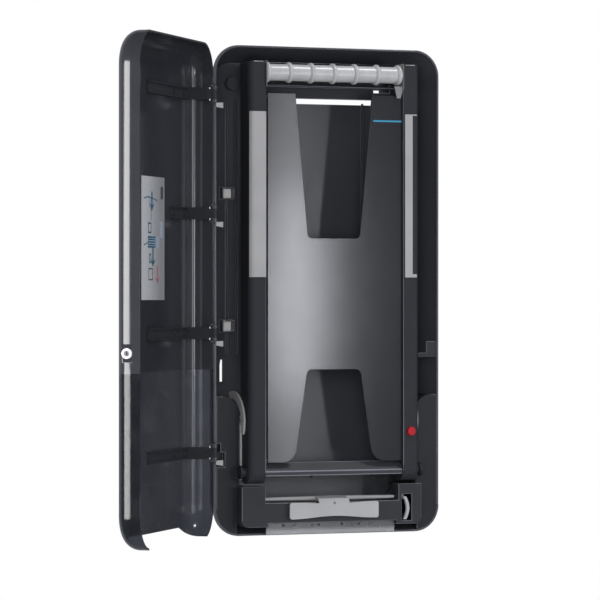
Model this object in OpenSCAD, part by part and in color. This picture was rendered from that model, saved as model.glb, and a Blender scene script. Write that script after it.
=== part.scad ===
// Wall-mounted dispenser for a continuous folded paper towel, cover swung open.
// Origin: centre of the back face on the wall. +X right, -Y out to the user, +Z up.

/* [Housing] */
// Outer width at the rim
housing_w = 370; // [364:1:390]
// Outer height at the rim
housing_h = 730; // [710:1:780]
// Depth from the wall to the rim
housing_d = 64; // [62:0.5:66]
// How far each wall leans in between rim and wall
wall_lean = 20; // [16:1:22]
// Thickness of the housing walls
wall = 3; // [2.5:0.1:3.5]
// Corner radius of the outline at the rim
corner_r = 40; // [38:1:48]
// Height of the straight band under the rim
rim_band = 6; // [5:0.5:8]

/* [Wall screws] */
// Spacing of the wall screws across
screw_dx = 268; // [262:1:274]
// Spacing of the wall screws up
screw_dz = 622; // [600:1:630]
// Diameter of the wall screw holes
screw_hole_d = 6.5; // [5:0.1:8]
// Diameter of the bosses round the wall screw holes
screw_boss_d = 20; // [16:0.5:24]
// Height of the bosses round the wall screws
screw_boss_h = 16; // [8:1:18]

/* [Cover] */
// Depth of the cover
cover_d = 37; // [36:0.5:42]
// Wall thickness of the cover
cover_wall = 3; // [2.5:0.1:3.5]
// Radius of the front edge
cover_edge_r = 24; // [20:1:26]
// Corner radius of the cover in front view
cover_corner_r = 50; // [46:1:54]
// Angle of the open cover
cover_open = 129; // [100:1:140]
// Height of the see-through lower part
window_h = 248; // [220:1:260]
// Height of the paper cut-out in the lower edge
cutout_h = 17; // [15:1:20]
// Width of the paper cut-out
cutout_w = 280; // [270:1:290]

/* [Hinge] */
// Distance between hinge arms
hinge_pitch = 177; // [165:1:185]
// Height of the middle of the hinge row
hinge_mid_z = 25.5; // [10:0.5:40]
// Diameter of the hinge pins
hinge_pin_d = 4; // [3:0.1:5]
// Radius of the hinge knuckles
knuckle_r = 5; // [4.5:0.1:5.5]
// Height of the hinge knuckles
knuckle_h = 14; // [12:0.5:16]
// Height of the hinge arms
arm_h = 18; // [16:0.5:20]

/* [Carriage] */
// Room beside the towel stack on each side
side_room = 72; // [71:0.5:76]
// Width of a rail
rail_w = 27; // [26:0.5:28]
// Depth of a rail
rail_d = 34; // [32:0.5:36]
// Wall thickness of a rail
rail_wall = 2.5; // [2:0.1:3]
// Radius of the outer front edge of a rail
rail_edge_r = 8; // [6:0.5:9]
// Radius of the top corners of a rail in front view
rail_top_r = 5; // [4:0.5:6]
// Distance from the wall to the rail fronts
rail_reach = 90; // [89:0.5:91]
// Drop of the rail tops below the housing top
rail_drop = 24; // [20:1:30]
// Height of the tilt axis over the housing bottom
pivot_up = 95; // [92:1:100]
// Diameter of the pivot pins
pivot_pin_d = 8; // [7:0.1:9]

/* [Front panel] */
// Recess of the panel behind the rail fronts
panel_recess = 4.6; // [3:0.1:6]
// Thickness of the panel
panel_t = 2.5; // [2:0.1:3]
// Dark gap between the left rail and the panel
panel_gap = 5; // [3:0.5:6]
// Drop of the panel top below the housing top
panel_drop = 71; // [68:1:76]
// Height of the panel bottom over the housing bottom
panel_up = 109; // [107:1:116]
// Depth of the upper window
upper_window_h = 216; // [190:1:230]
// Width of the upper window at its top
upper_window_top_w = 126; // [110:1:130]
// Width of the upper window at its bottom
upper_window_low_w = 84; // [70:1:95]
// Height of the lower window
lower_window_h = 138; // [120:1:150]
// Width of the lower window at its top
lower_window_top_w = 87; // [75:1:95]
// Width of the lower window at its bottom
lower_window_low_w = 128; // [115:1:140]

/* [Roller] */
// Radius of the roller tube
roller_r = 12.5; // [11:0.1:13.5]
// Radius of the roller rings
ring_r = 15.5; // [14.5:0.1:16]
// Number of roller rings
ring_count = 7; // [5:1:9]
// Width of a roller ring
ring_w = 8; // [6:0.1:9]
// Drop of the roller axis below the housing top
roller_drop = 40; // [39:1:46]
// Distance from the wall to the roller axis
roller_reach = 79; // [77:0.5:80]
// Diameter of the roller axle
axle_d = 8; // [6:0.1:10]

/* [Catch] */
// Diameter of the release button
button_d = 13.5; // [12:0.1:14.5]
// Travel of the release button
button_travel = 4; // [3:0.1:4.5]
// Height of the button over the tilt axis
button_up = 58; // [54:1:62]
// Height of the catch axis over the button
catch_arm = 19; // [17:0.5:22]
// Thickness of a catch lever
catch_t = 3; // [2.5:0.1:3.2]
// Radius of the catch loop
loop_r = 45; // [42:1:46]

/* [Outlet] */
// Height of the outlet housing underside over the housing bottom
outlet_up = 13; // [12:0.5:16]
// Height of the outlet band
outlet_band_h = 36; // [33:1:38]
// Height of the outlet pillars
outlet_h = 61; // [56:1:62]
// Width of an outlet pillar
pillar_w = 38.5; // [36:0.5:40]
// Distance from the wall to the outlet front
outlet_reach = 81; // [80:0.5:82]
// Radius of the lower corners of the outlet
outlet_corner_r = 10; // [6:1:14]
// Width of the clear lip
lip_w = 211; // [200:1:216]
// Width of the tongue plate
tongue_w = 146; // [130:1:160]
// Height of the tongue plate
tongue_h = 25; // [22:0.5:27]

/* [Lock] */
// Height of the lock over the cover bottom
lock_up = 276.5; // [270:0.5:290]
// Distance of the lock axis in front of the cover rim
lock_fwd = 20; // [19:0.1:22]
// Diameter of the lock barrel
barrel_d = 12; // [11:0.5:13]
// Diameter of the lock plug
plug_d = 8; // [7:0.5:8.5]
// Reach of the lock cam
cam_reach = 30; // [29:0.5:31]

/* [Clearances] */
// Radial clearance of a turning pin
run_fit = 0.08; // [0.05:0.01:0.1]
// Radial clearance of a fixed pin
snug_fit = 0.02; // [0.01:0.01:0.05]
// Gap between parts that move past each other
side_gap = 5; // [4.6:0.1:5.4]
// Gap between cover and housing rims
rim_gap = 0.4; // [0.3:0.1:0.6]

/* [Hidden] */
$fn = 64;
half_w = housing_w / 2;
half_h = housing_h / 2;
rim_y = -housing_d;
cover_y = rim_y - rim_gap;
cover_front_y = cover_y - cover_d;
cover_in_y = cover_front_y + cover_wall;
window_top_z = -half_h + window_h;
cutout_top_z = -half_h + cutout_h;
cutout_slope = 18;

// Hinge line, just outside the rim
hinge_out = 1;
hinge_x = -half_w - hinge_out;
hinge_y = rim_y - rim_gap / 2;
arm_count = 4;
lug_h = 5;
lug_gap = 0.3;
swing_gap = 0.6;
hinge_reach = knuckle_h / 2 + lug_gap + lug_h;
hinge_zs = [for (i = [0:arm_count - 1]) hinge_mid_z + ((arm_count - 1) / 2 - i) * hinge_pitch];
rib_h = 5;
rib_foot = 2;
arm_t = 4.2;
arm_leg_x = -half_w + cover_wall + cover_edge_r;
rib_long = 200;
rib_short = 84;
rib_runs = [rib_long, rib_short, rib_long, rib_long];
arm_screw_r = 3.5;
arm_screw_t = 2;

// Carriage lines
rail_in = half_w - side_room;
rail_out = rail_in + rail_w;
rail_y = -rail_reach;
rail_back_y = rail_y + rail_d;
rail_top_z = half_h - rail_drop;
pivot_y = rail_y + rail_d / 2;
pivot_z = -half_h + pivot_up;
panel_y = rail_y + panel_recess;
panel_top_z = half_h - panel_drop;
panel_low_z = -half_h + panel_up;
block_in = rail_out + side_gap;
rail_solid = 8;
rail_floor_z = pivot_z + rail_d / 2 + rail_solid;
crossbar_h = 20;
crossbar_d = 24;
crossbar_chamfer = 13;

// Strips on the rails
strip_t = 1.5;
strip_inset = 0.3;
strip_groove = [2, 1.1];
strip_wrap = 0.25;
strip_top_drop = 75;
strip_h = 246;
bar_inset = 2.5;
bar_edge = 5;
bar_slot_w = 6.8;
bar_low_end = 5;
bar_top_end = 2;

// Roller lines
roller_y = -roller_reach;
roller_z = half_h - roller_drop;
bracket_t = 0.8;
bracket_drop = 21;
bracket_rise = 17;
bracket_front = 3;
bracket_back = 9;
bracket_low_z = roller_z - bracket_drop;
roller_play = 0.3;
roller_half = rail_in - bracket_t - roller_play;
ring_pitch = (2 * roller_half - ring_w) / (ring_count - 1);
bush_w = 8;
bush_t = 2.5;
axle_in_rail = 11;
axle_half = rail_in + axle_in_rail;

// Catch lines
button_in = 13;
button_x = rail_in + button_in;
button_z = pivot_z + button_up;
catch_in_rail = 7;
catch_y = rail_back_y - catch_in_rail;
catch_z = button_z + catch_arm;
catch_in = rail_out + (side_gap - catch_t) / 2;
catch_pin_d = 5;
catch_hub_r = 7;
loop_back = 12;
loop_drop = 2;
catch_leg_w = 3.5;
catch_leg_low_z = pivot_z - 12;
loop_y = rail_y + loop_r + loop_back;
loop_z = catch_z - loop_drop;
loop_t = 7.5;
catch_bar = 6;
striker_d = 5;
striker_back = 46;
striker_reach = 87.4;
nose_gap = 0.4;
button_flange = 1.6;
button_flange_r = button_d / 2 + 1.5;
button_gap = 0.3;
tab_h = 8;
tab_t = 4;
tab_in = button_x - 5;

// Outlet lines
outlet_over = 3;
outlet_w = 2 * (block_in + outlet_over);
outlet_low_z = -half_h + outlet_up;
outlet_top_z = outlet_low_z + outlet_h;
outlet_band_z = outlet_low_z + outlet_band_h;
outlet_y = -outlet_reach;
outlet_back_y = rim_y + rim_band;
lip_set = 9;
lip_back_y = outlet_y + lip_set;
lip_t = 2;
lip_rise = 5.6;
lip_gap = 0.2;
outlet_wall = 2.5;
pillar_in = outlet_w / 2 - pillar_w;
tongue_pin_d = 4;
tongue_in = 12;
tongue_up = 5;
tongue_y = outlet_y + tongue_in;
tongue_z = outlet_band_z + tongue_up;
tongue_fwd = 7;
tongue_t = 2.2;
lever_in = 10;
lever_x = pillar_in + lever_in;
lever_w = 4.5;
lever_h = 34;
shelf_t = 3;

// Lock lines
lock_y = cover_y - lock_fwd;
lock_z = -half_h + lock_up;
lock_recess = 4.5;
lock_seat_x = half_w - lock_recess;
boss_len = 10.3;
pocket_w = 17;
pocket_h = 26;
pocket_wall = 3;
flange_r = 7.5;
flange_t = 2;
nut_t = 4;
cam_t = 2;
cam_w = 8;
cam_room = 8;
cam_x = lock_seat_x - boss_len - nut_t - cam_room;
striker_t = 3;
striker_in = 2;
hook_gap = 1.5;
hook_len = 6;
hook_play = 1;
hook_t = cam_reach - lock_fwd - rim_gap - striker_in - striker_t - hook_play;

gloss_black = [0.13, 0.13, 0.15];
smoke = [0.25, 0.26, 0.28, 0.7];
panel_grey = [0.38, 0.38, 0.4];
light_grey = [0.7, 0.7, 0.71];
steel = [0.78, 0.78, 0.8];

// Extrude a front-view outline (x, z) from y0 towards the user
module front(y0, d) {
    translate([0, y0, 0]) rotate([90, 0, 0]) linear_extrude(d) children();
}

// Extrude a side-view outline (y, z) along +X from x0
module side(x0, w) {
    translate([x0, 0, 0]) rotate([90, 0, 90]) linear_extrude(w) children();
}

// Rod along X
module rod_x(x0, len, y, z, r) {
    translate([x0, y, z]) rotate([0, 90, 0]) cylinder(r = r, h = len);
}

// Rod along -Y
module rod_y(x, z, y0, len, r) {
    translate([x, y0, z]) rotate([90, 0, 0]) cylinder(r = r, h = len);
}

// Box between two corners
module span(a, b) {
    translate(a) cube(b - a);
}

module mirrored() {
    mirror([1, 0, 0]) children();
}

module round_rect(w, h, r) {
    square([w - 2 * r, h], center = true);
    square([w, h - 2 * r], center = true);
    for (sx = [-1, 1]) {
        for (sz = [-1, 1]) {
            translate([sx * (w / 2 - r), sz * (h / 2 - r)]) circle(r);
        }
    }
}

function arc(c, r, a0, a1, n = 10) =
    [for (i = [0:n]) let (a = a0 + (a1 - a0) * i / n) c + r * [cos(a), sin(a)]];

// Leaning tray volume, inset by one wall for the cavity
module tray_form(inset, extra) {
    hull() {
        front(rim_y + rim_band, rim_band + extra)
            round_rect(housing_w - 2 * inset, housing_h - 2 * inset, corner_r - inset);
        front(-inset, 0.5)
            round_rect(housing_w - 2 * (wall_lean + inset), housing_h - 2 * (wall_lean + inset),
                corner_r - wall_lean / 2 - inset);
    }
}

// Slab of depth d towards the user, corners r in front view, front edge rounded by e
module soft_slab(w, h, d, r, e) {
    front(0, d - e) round_rect(w, h, r);
    translate([0, e - d, 0]) {
        front(0, e) round_rect(w - 2 * e, h - 2 * e, r - e);
        for (turn = [0, 180]) {
            rotate([0, turn, 0]) {
                translate([w / 2 - e, 0, r - h / 2]) linear_extrude(h - 2 * r) edge_quarter(e);
                translate([r - w / 2, 0, h / 2 - e]) rotate([90, 0, 90])
                    linear_extrude(w - 2 * r) mirror([1, 0]) quarter(e);
            }
        }
        for (sx = [-1, 1]) {
            for (sz = [-1, 1]) {
                translate([sx * (w / 2 - r), 0, sz * (h / 2 - r)]) rotate([90, 0, 0])
                    rotate([0, 0, sx > 0 ? (sz > 0 ? 0 : 270) : (sz > 0 ? 90 : 180)])
                        rotate_extrude(angle = 90) translate([r - e, 0]) quarter(e);
            }
        }
    }
}

module quarter(e) {
    intersection() {
        circle(e);
        square(e);
    }
}

module edge_quarter(e) {
    mirror([0, 1]) quarter(e);
}

// Places a part drawn on the closed cover at the open cover
module on_cover() {
    translate([hinge_x, hinge_y, 0]) rotate([0, 0, -cover_open]) translate([-hinge_x, -hinge_y, 0])
        children();
}

// Housing

hole_x = half_w - 44.3;
hole_size = [16.4, 14.4];
hole_boss = 2;
hole_deep = 13.7;
hole_zs = [146, -53];
grip_slot = [228, 23];
grip_slot_z = half_h - 70.5;
side_slot = [4, 33];
side_slot_x = half_w - 36.5;
side_slot_z = -120;
rib_xs = [half_w - 101, half_w - 62, half_w - 45];
rib_w = 2.5;
rib_t = 5;
rib_low_z = -95;
rib_top_z = 285;
top_rib_xs = [-104, -46, 46, 104];

module rear_housing() {
    color(gloss_black) difference() {
        union() {
            difference() {
                tray_form(0, 0);
                tray_form(wall, 1);
            }
            for (sx = [-1, 1]) {
                for (sz = [-1, 1]) {
                    rod_y(sx * screw_dx / 2, sz * screw_dz / 2, 0, screw_boss_h, screw_boss_d / 2);
                }
                for (z = hole_zs) {
                    front(0, hole_deep) translate([sx * hole_x, z])
                        square(hole_size + [2 * hole_boss, 2 * hole_boss], center = true);
                }
                for (x = rib_xs) {
                    span([sx * x - rib_w / 2, -wall - rib_t, rib_low_z],
                        [sx * x + rib_w / 2, -wall + 1, rib_top_z]);
                }
            }
            for (x = top_rib_xs) {
                span([x - 1.5, -wall - 24, half_h - wall_lean - wall - 8],
                    [x + 1.5, -wall + 1, half_h - wall_lean - wall + 1]);
            }
            for (z = hinge_zs) {
                for (s = [-1, 1]) {
                    hinge_lug(z + s * (knuckle_h / 2 + lug_gap + lug_h / 2));
                }
            }
        }
        for (sx = [-1, 1]) {
            for (sz = [-1, 1]) {
                rod_y(sx * screw_dx / 2, sz * screw_dz / 2, 1, wall + 8, screw_hole_d / 2);
            }
            for (z = hole_zs) {
                front(1, hole_deep + 2) translate([sx * hole_x, z]) square(hole_size, center = true);
            }
            front(1, wall + 2) translate([sx * side_slot_x, side_slot_z]) square(side_slot, center = true);
        }
        front(1, wall + 2) translate([0, grip_slot_z]) square(grip_slot, center = true);
        for (z = hinge_zs) {
            translate([hinge_x, hinge_y, z])
                cylinder(r = knuckle_r + swing_gap, h = knuckle_h + 2 * lug_gap, center = true);
            translate([hinge_x, hinge_y, z])
                cylinder(d = hinge_pin_d + 2 * snug_fit, h = knuckle_h + 4 * lug_h, center = true);
        }
    }
}

module hinge_lug(z) {
    translate([hinge_x, hinge_y, z]) {
        cylinder(r = knuckle_r, h = lug_h, center = true);
        translate([-knuckle_r / 2, 0, -lug_h / 2]) cube([knuckle_r / 2 + hinge_out + wall, 9, lug_h]);
    }
}

// Light wedge under each hinge, on the inside of the rim
clip_w = 11.5;
clip_h = 8;

module hole_plugs() {
    size = hole_size - [2 * snug_fit, 2 * snug_fit];
    color(light_grey) for (sx = [-1, 1]) {
        for (z = hole_zs) {
            front(0, wall) translate([sx * hole_x, z]) square(size, center = true);
        }
    }
}

module hinge_clips() {
    color(light_grey) for (z = hinge_zs) {
        front(rim_y + rim_band, rim_band - 1) translate([-half_w + wall, z - hinge_reach])
            polygon([[0, 0], [clip_w, 0.5], [clip_w, -clip_h], [0, -clip_h + 2]]);
    }
}

module hinge_pins() {
    color(steel) for (z = hinge_zs) {
        translate([hinge_x, hinge_y, z - hinge_reach]) cylinder(d = hinge_pin_d, h = 2 * hinge_reach);
    }
}

block_over = 113;
block_top_z = pivot_z + block_over;
block_mid_z = outlet_top_z + 0.5;
block_low_in = outlet_w / 2 + 0.5;
block_round = 28;
ear_r = 10;
ear_t = 5;
pocket_floor = 2.5;

module pivot_block(inset) {
    outer_x = half_w + 5;
    intersection() {
        tray_form(wall + 0.3 + inset, 0);
        front(-wall + (inset > 0 ? 1 : 0), housing_d - wall - inset) {
            translate([block_in + inset, block_mid_z + inset])
                square([outer_x, block_top_z - block_round - block_mid_z - inset]);
            translate([block_in + block_round, block_mid_z + inset])
                square([outer_x, block_top_z - inset - block_mid_z - inset]);
            translate([block_in + block_round, block_top_z - block_round]) circle(block_round - inset);
            translate([block_low_in + inset, -half_h]) square([outer_x, block_mid_z + inset + 1 + half_h]);
        }
    }
}

module pivot_block_right() {
    shell = 2.5;
    color(gloss_black) difference() {
        union() {
            difference() {
                pivot_block(0);
                pivot_block(shell);
            }
            rod_x(block_in, ear_t, pivot_y, pivot_z, ear_r);
            span([block_in, pivot_y, pivot_z - ear_r], [block_in + ear_t, rim_y + shell, pivot_z + ear_r]);
            rod_x(block_in, ear_t, striker_y, striker_z, striker_d);
        }
        rod_x(block_in - 1, ear_t + 2, pivot_y, pivot_z, pivot_pin_d / 2 + run_fit);
        rod_x(block_in - 1, ear_t + 2, striker_y, striker_z, striker_d / 2 + snug_fit);
    }
}

module pivot_block_left() {
    color(gloss_black) difference() {
        union() {
            mirrored() pivot_block_right();
            intersection() {
                mirrored() pivot_block(0);
                for (z = hinge_zs) {
                    hinge_pocket(z, pocket_floor);
                }
            }
        }
        for (z = hinge_zs) {
            hinge_pocket(z, 0);
        }
    }
}

// Room for a hinge and its clip, grown by a wall
module hinge_pocket(z, grow) {
    clip_room = 2;
    translate([hinge_x, hinge_y, z]) cylinder(r = 2 * knuckle_r + swing_gap + grow,
        h = 2 * (hinge_reach + swing_gap + grow), center = true);
    span([-half_w, rim_y - 1, z - hinge_reach - clip_h - clip_room - grow],
        [-half_w + wall + clip_w + clip_room + grow, rim_y + rim_band + 1 + grow, z]);
}

striker_y = pivot_y + striker_back;
striker_z = pivot_z + sqrt(striker_reach * striker_reach - striker_back * striker_back);

module catch_strikers() {
    color(steel) {
        catch_striker();
        mirrored() catch_striker();
    }
}

module catch_striker() {
    rod_x(catch_in, block_in + ear_t - catch_in, striker_y, striker_z, striker_d / 2);
}

module stack_shelf() {
    front_y = rail_back_y - 2;
    shelf_half = rail_in - 2;
    top_z = panel_low_z - 3;
    gusset_w = 4;
    gusset_h = 24;
    color(gloss_black) {
        span([-shelf_half, front_y, top_z - shelf_t], [shelf_half, -wall, top_z]);
        for (x = [-shelf_half + 10, 0, shelf_half - 10]) {
            side(x - gusset_w / 2, gusset_w)
                polygon([[-wall, top_z], [front_y + 4, top_z], [-wall, top_z - gusset_h]]);
        }
    }
}

module outlet_outline(inset) {
    w = outlet_w - 2 * inset;
    r = outlet_corner_r - inset;
    low = outlet_low_z + inset;
    difference() {
        union() {
            translate([-w / 2, low + r]) square([w, outlet_top_z - inset - low - r]);
            translate([r - w / 2, low]) square([w - 2 * r, r + 1]);
            for (sx = [-1, 1]) {
                translate([sx * (w / 2 - r), low + r]) circle(r);
            }
        }
        translate([-w, outlet_top_z - inset]) square([2 * w, outlet_h]);
        translate([-pillar_in - inset, outlet_band_z - inset]) square([2 * (pillar_in + inset), outlet_h]);
    }
}

module outlet_housing() {
    leg = 16;
    leg_h = 8;
    color(gloss_black) difference() {
        union() {
            difference() {
                front(outlet_back_y, outlet_back_y - outlet_y) outlet_outline(0);
                front(outlet_back_y + 1, outlet_back_y - outlet_y + 1 - outlet_wall)
                    outlet_outline(outlet_wall);
            }
            for (sx = [-1, 1]) {
                leg_x = sx * (outlet_w / 2 - leg / 2 - outlet_wall);
                span([leg_x - leg / 2, outlet_y + 1, outlet_top_z - leg_h],
                    [leg_x + leg / 2, -wall, outlet_top_z]);
            }
        }
        rod_x(-outlet_w / 2, outlet_w, tongue_y, tongue_z, tongue_pin_d / 2 + run_fit);
        span([-lip_w / 2 - lip_gap, outlet_y - 1, outlet_low_z - 1],
            [lip_w / 2 + lip_gap, lip_back_y, outlet_low_z + lip_rise]);
        span([lever_x - lever_w, outlet_y - 1, tongue_z - lever_h - 2],
            [lever_x + 2.6 * lever_w, outlet_y + outlet_wall + 1, tongue_z + 4]);
    }
}

module outlet_lip() {
    ridge = 2;
    ridge_drop = 3;
    ridge_h = 1.5;
    low_gap = 1.5;
    slot_h = 3;
    slot_w = 4;
    bump_r = 1.4;
    bump_w = 4.5;
    bump_up = 1;
    slot_xs = [-78, -20, 18, 46];
    bump_xs = [-60, -30, 36, 66];
    face_y = lip_back_y - lip_t;
    top_z = outlet_low_z + lip_rise - lip_gap;
    ridge_z = outlet_low_z - ridge_drop;
    color([0.8, 0.82, 0.84, 0.5]) difference() {
        union() {
            side(-lip_w / 2, lip_w) polygon([[lip_back_y, top_z],
                [face_y, top_z],
                [face_y, ridge_z],
                [face_y - ridge, ridge_z],
                [face_y - ridge, ridge_z - ridge_h],
                [face_y, ridge_z - ridge_h],
                [face_y, -half_h + low_gap],
                [lip_back_y, -half_h + low_gap]]);
            for (x = bump_xs) {
                rod_x(x - bump_w / 2, bump_w, face_y, outlet_low_z + bump_up, bump_r);
            }
        }
        for (x = slot_xs) {
            span([x - slot_w / 2, face_y - 1, outlet_low_z],
                [x + slot_w / 2, lip_back_y + 1, outlet_low_z + slot_h]);
        }
    }
}

// Angled tab: its lower arm is what the hooked cam turns in behind
module lock_striker() {
    in_x = cam_x - 6;
    foot_x = cam_x + cam_t + 5;
    foot_h = 24;
    tab_z = lock_z - cam_w / 2 - hook_gap;
    color(gloss_black) {
        span([foot_x, rim_y + striker_in, lock_z - foot_h / 2],
            [half_w - wall, rim_y + striker_in + striker_t, lock_z + foot_h / 2]);
        span([in_x, rim_y + striker_in, lock_z - foot_h / 2],
            [foot_x + 1, rim_y + striker_in + striker_t, tab_z]);
    }
}

// Carriage

module rail_section(inset) {
    x1 = rail_out - inset;
    y0 = rail_y + inset;
    r = rail_edge_r - inset;
    translate([rail_in + inset, y0]) square([x1 - r - rail_in - inset, rail_back_y - y0]);
    translate([rail_in + inset, y0 + r]) square([x1 - rail_in - inset, rail_back_y - y0 - r]);
    translate([x1 - r, y0 + r]) circle(r);
}

// Front view of a rail, its top corners rounded
module rail_front() {
    low_z = pivot_z - rail_d;
    side_h = rail_top_z - rail_top_r - low_z;
    translate([rail_in, low_z]) square([rail_w, side_h]);
    translate([rail_in + rail_top_r, low_z]) square([rail_w - 2 * rail_top_r, rail_top_z - low_z]);
    for (x = [rail_in + rail_top_r, rail_out - rail_top_r]) {
        translate([x, rail_top_z - rail_top_r]) circle(rail_top_r);
    }
}

module rail() {
    color(gloss_black) difference() {
        intersection() {
            translate([0, 0, pivot_z - rail_d]) linear_extrude(rail_top_z - pivot_z + rail_d)
                rail_section(0);
            side(rail_in - 1, rail_w + 2) {
                translate([rail_y, pivot_z]) square([rail_d, rail_top_z - pivot_z]);
                translate([pivot_y, pivot_z]) circle(rail_d / 2);
            }
            front(rail_back_y, rail_d) rail_front();
        }
        intersection() {
            translate([0, 0, rail_floor_z]) linear_extrude(rail_top_z - rail_wall - rail_floor_z)
                rail_section(rail_wall);
            side(rail_in, rail_w) translate([rail_y, rail_floor_z]) square([rail_d + 1, housing_h]);
        }
        span([rail_in + rail_wall, rail_back_y - 1, rail_floor_z],
            [rail_out - rail_wall, rail_back_y + 1, rail_top_z - rail_wall]);
        rod_x(rail_in - 1, rail_w + 2, pivot_y, pivot_z, pivot_pin_d / 2 + snug_fit);
        rod_x(rail_in - 1, rail_wall + 2, roller_y, roller_z, axle_d / 2 + snug_fit);
        rod_x(rail_out - rail_wall - 1, rail_wall + 2, catch_y, catch_z, catch_pin_d / 2 + snug_fit);
        children();
    }
}

// Its flange carries the panel's left edge
module left_rail() {
    flange = 4;
    flange_t = 2;
    color(gloss_black) {
        mirrored() rail();
        span([-rail_in - 1, panel_y + panel_t, panel_low_z + flange],
            [panel_gap + flange - rail_in, panel_y + panel_t + flange_t, panel_top_z - flange]);
    }
}

module right_rail() {
    rail() {
        rod_y(button_x, button_z, rail_y + rail_wall + 1, rail_wall + 2, button_d / 2 + button_gap);
        rod_y(button_x, button_z, rail_y + rail_wall + 2 * button_travel, 2 * button_travel,
            button_flange_r + button_gap);
        span([rail_out - rail_wall - 1, catch_tab_y - 1.5, button_z - tab_h / 2 - 4],
            [rail_out + 1, catch_tab_y + tab_t + button_travel + 2, button_z + tab_h / 2 + 2]);
    }
}

corner_small = 6.5;
corner_flare = 24;

// Upper window: open at the top, round lower corners
module upper_window() {
    top = upper_window_top_w / 2;
    low = upper_window_low_w / 2;
    low_z = panel_top_z - upper_window_h;
    lean = atan2(top - low, upper_window_h);
    cx = low + corner_small * (sin(lean) - 1) / cos(lean) + corner_small * tan(lean);
    c = [cx, low_z + corner_small];
    half = concat([[top, panel_top_z + 1]], arc(c, corner_small, -lean, -90));
    polygon(concat(half, [for (i = [len(half) - 1:-1:0]) [-half[i][0], half[i][1]]]));
}

// Lower window: round upper corners, flares out at the panel's lower edge
module lower_window() {
    top = lower_window_top_w / 2;
    low = lower_window_low_w / 2;
    top_z = panel_low_z + lower_window_h;
    lean = atan2(low - top, lower_window_h);
    c = [top - corner_small * (1 - sin(lean)), top_z - corner_small];
    flare_x = low - corner_flare * tan(lean) + corner_flare / cos(lean);
    flare = [flare_x, panel_low_z + corner_flare];
    half = concat([[0, top_z]], arc(c, corner_small, 90, lean), arc(flare, corner_flare, 180 + lean, 270),
        [[flare_x, panel_low_z - 1]]);
    polygon(concat(half, [for (i = [len(half) - 1:-1:0]) [-half[i][0], half[i][1]]]));
}

module front_panel() {
    color(panel_grey) front(panel_y + panel_t, panel_t) difference() {
        translate([panel_gap - rail_in, panel_low_z])
            square([2 * rail_in - panel_gap, panel_top_z - panel_low_z]);
        upper_window();
        lower_window();
    }
}

module lower_crossbar() {
    top = panel_low_z;
    y0 = rail_y + 3;
    color(gloss_black) side(-rail_in, 2 * rail_in) polygon([[y0 + crossbar_chamfer, top],
        [y0 + crossbar_d, top],
        [y0 + crossbar_d, top - crossbar_h],
        [y0, top - crossbar_h],
        [y0, top - crossbar_chamfer]]);
}

guide_over = 6.5;
guide_low_z = panel_top_z - guide_over;
guide_t = 2.5;
guide_gap = 6;
guide_y = roller_y + ring_r + guide_gap;

module web_guide() {
    guide_r = ring_r + guide_gap;
    notch_w = 26;
    color(gloss_black) difference() {
        side(-rail_in, 2 * rail_in) difference() {
            union() {
                translate([guide_y, guide_low_z]) square([guide_t, roller_z - guide_low_z]);
                translate([roller_y, roller_z]) circle(guide_r + guide_t);
            }
            translate([roller_y, roller_z]) circle(guide_r);
            translate([roller_y - 2 * guide_r, roller_z - 2 * guide_r])
                square([2.5 * guide_r, 4 * guide_r]);
            translate([roller_y, rail_top_z]) square([3 * guide_r, guide_r]);
        }
        span([rail_in - notch_w - 8, guide_y - 8, panel_top_z + 5],
            [rail_in - 8, guide_y + 9, roller_z - 8]);
    }
}

// Strip wraps the outer front edge of its rail
module rail_strip() {
    groove_turn = 38;
    strip_top_z = rail_top_z - strip_top_drop;
    translate([0, 0, strip_top_z - strip_h]) linear_extrude(strip_h) difference() {
        union() {
            translate([rail_in + strip_inset, rail_y - strip_t])
                square([rail_w - rail_edge_r - strip_inset, 2 * strip_t]);
            translate([rail_out - rail_edge_r, rail_y + rail_edge_r]) circle(rail_edge_r + strip_t);
        }
        rail_section(0);
        translate([rail_in - 1, rail_y + strip_wrap * rail_edge_r]) square([rail_w + 9, rail_d]);
        translate([rail_out - rail_edge_r, rail_y + rail_edge_r]) rotate(groove_turn)
            translate([-strip_groove[0] / 2, -rail_edge_r - strip_t - 0.1])
                square([strip_groove[0], strip_groove[1] + 0.1]);
    }
}

module right_rail_strip() {
    in_x = rail_in + bar_inset;
    out_x = rail_out - bar_edge;
    top_z = rail_top_z - strip_top_drop;
    color(light_grey) difference() {
        span([in_x, rail_y - strip_t, top_z - strip_h], [out_x, rail_y, top_z]);
        span([out_x - bar_slot_w, rail_y - strip_t - 1, top_z - strip_h + bar_low_end],
            [out_x + 1, rail_y + 1, top_z - bar_top_end]);
    }
}

module left_rail_strip() {
    color(light_grey) mirrored() rail_strip();
}

module roller_bracket() {
    reach = rail_y - bracket_front;
    color(light_grey) difference() {
        span([rail_in - bracket_t, reach, bracket_low_z],
            [rail_in, roller_y + bracket_back, roller_z + bracket_rise]);
        rod_x(rail_in - bracket_t - 1, bracket_t + 2, roller_y, roller_z, axle_d / 2 + snug_fit);
    }
}

module left_roller_bracket() {
    mirrored() roller_bracket();
}

module right_roller_bracket() {
    foot_z = bracket_low_z - 14;
    tab_w = 13;
    tab_top = roller_z - ring_r - 1.5;
    tab_low = tab_top - 8;
    tab_face = rail_in - bracket_t;
    tab_root = rail_in - bracket_t / 2;
    color(light_grey) union() {
        roller_bracket();
        front(rail_y + 3.5, 2.5) polygon([[tab_root, tab_top],
            [tab_face - tab_w, tab_top],
            [tab_face - tab_w * 0.7, foot_z],
            [tab_face - tab_w * 0.25, foot_z],
            [tab_face, tab_low],
            [tab_face, max(tab_low, bracket_low_z)],
            [tab_root, max(tab_low, bracket_low_z)]]);
    }
}

module roller_axle() {
    color(steel) rod_x(-axle_half, 2 * axle_half, roller_y, roller_z, axle_d / 2);
}

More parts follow.
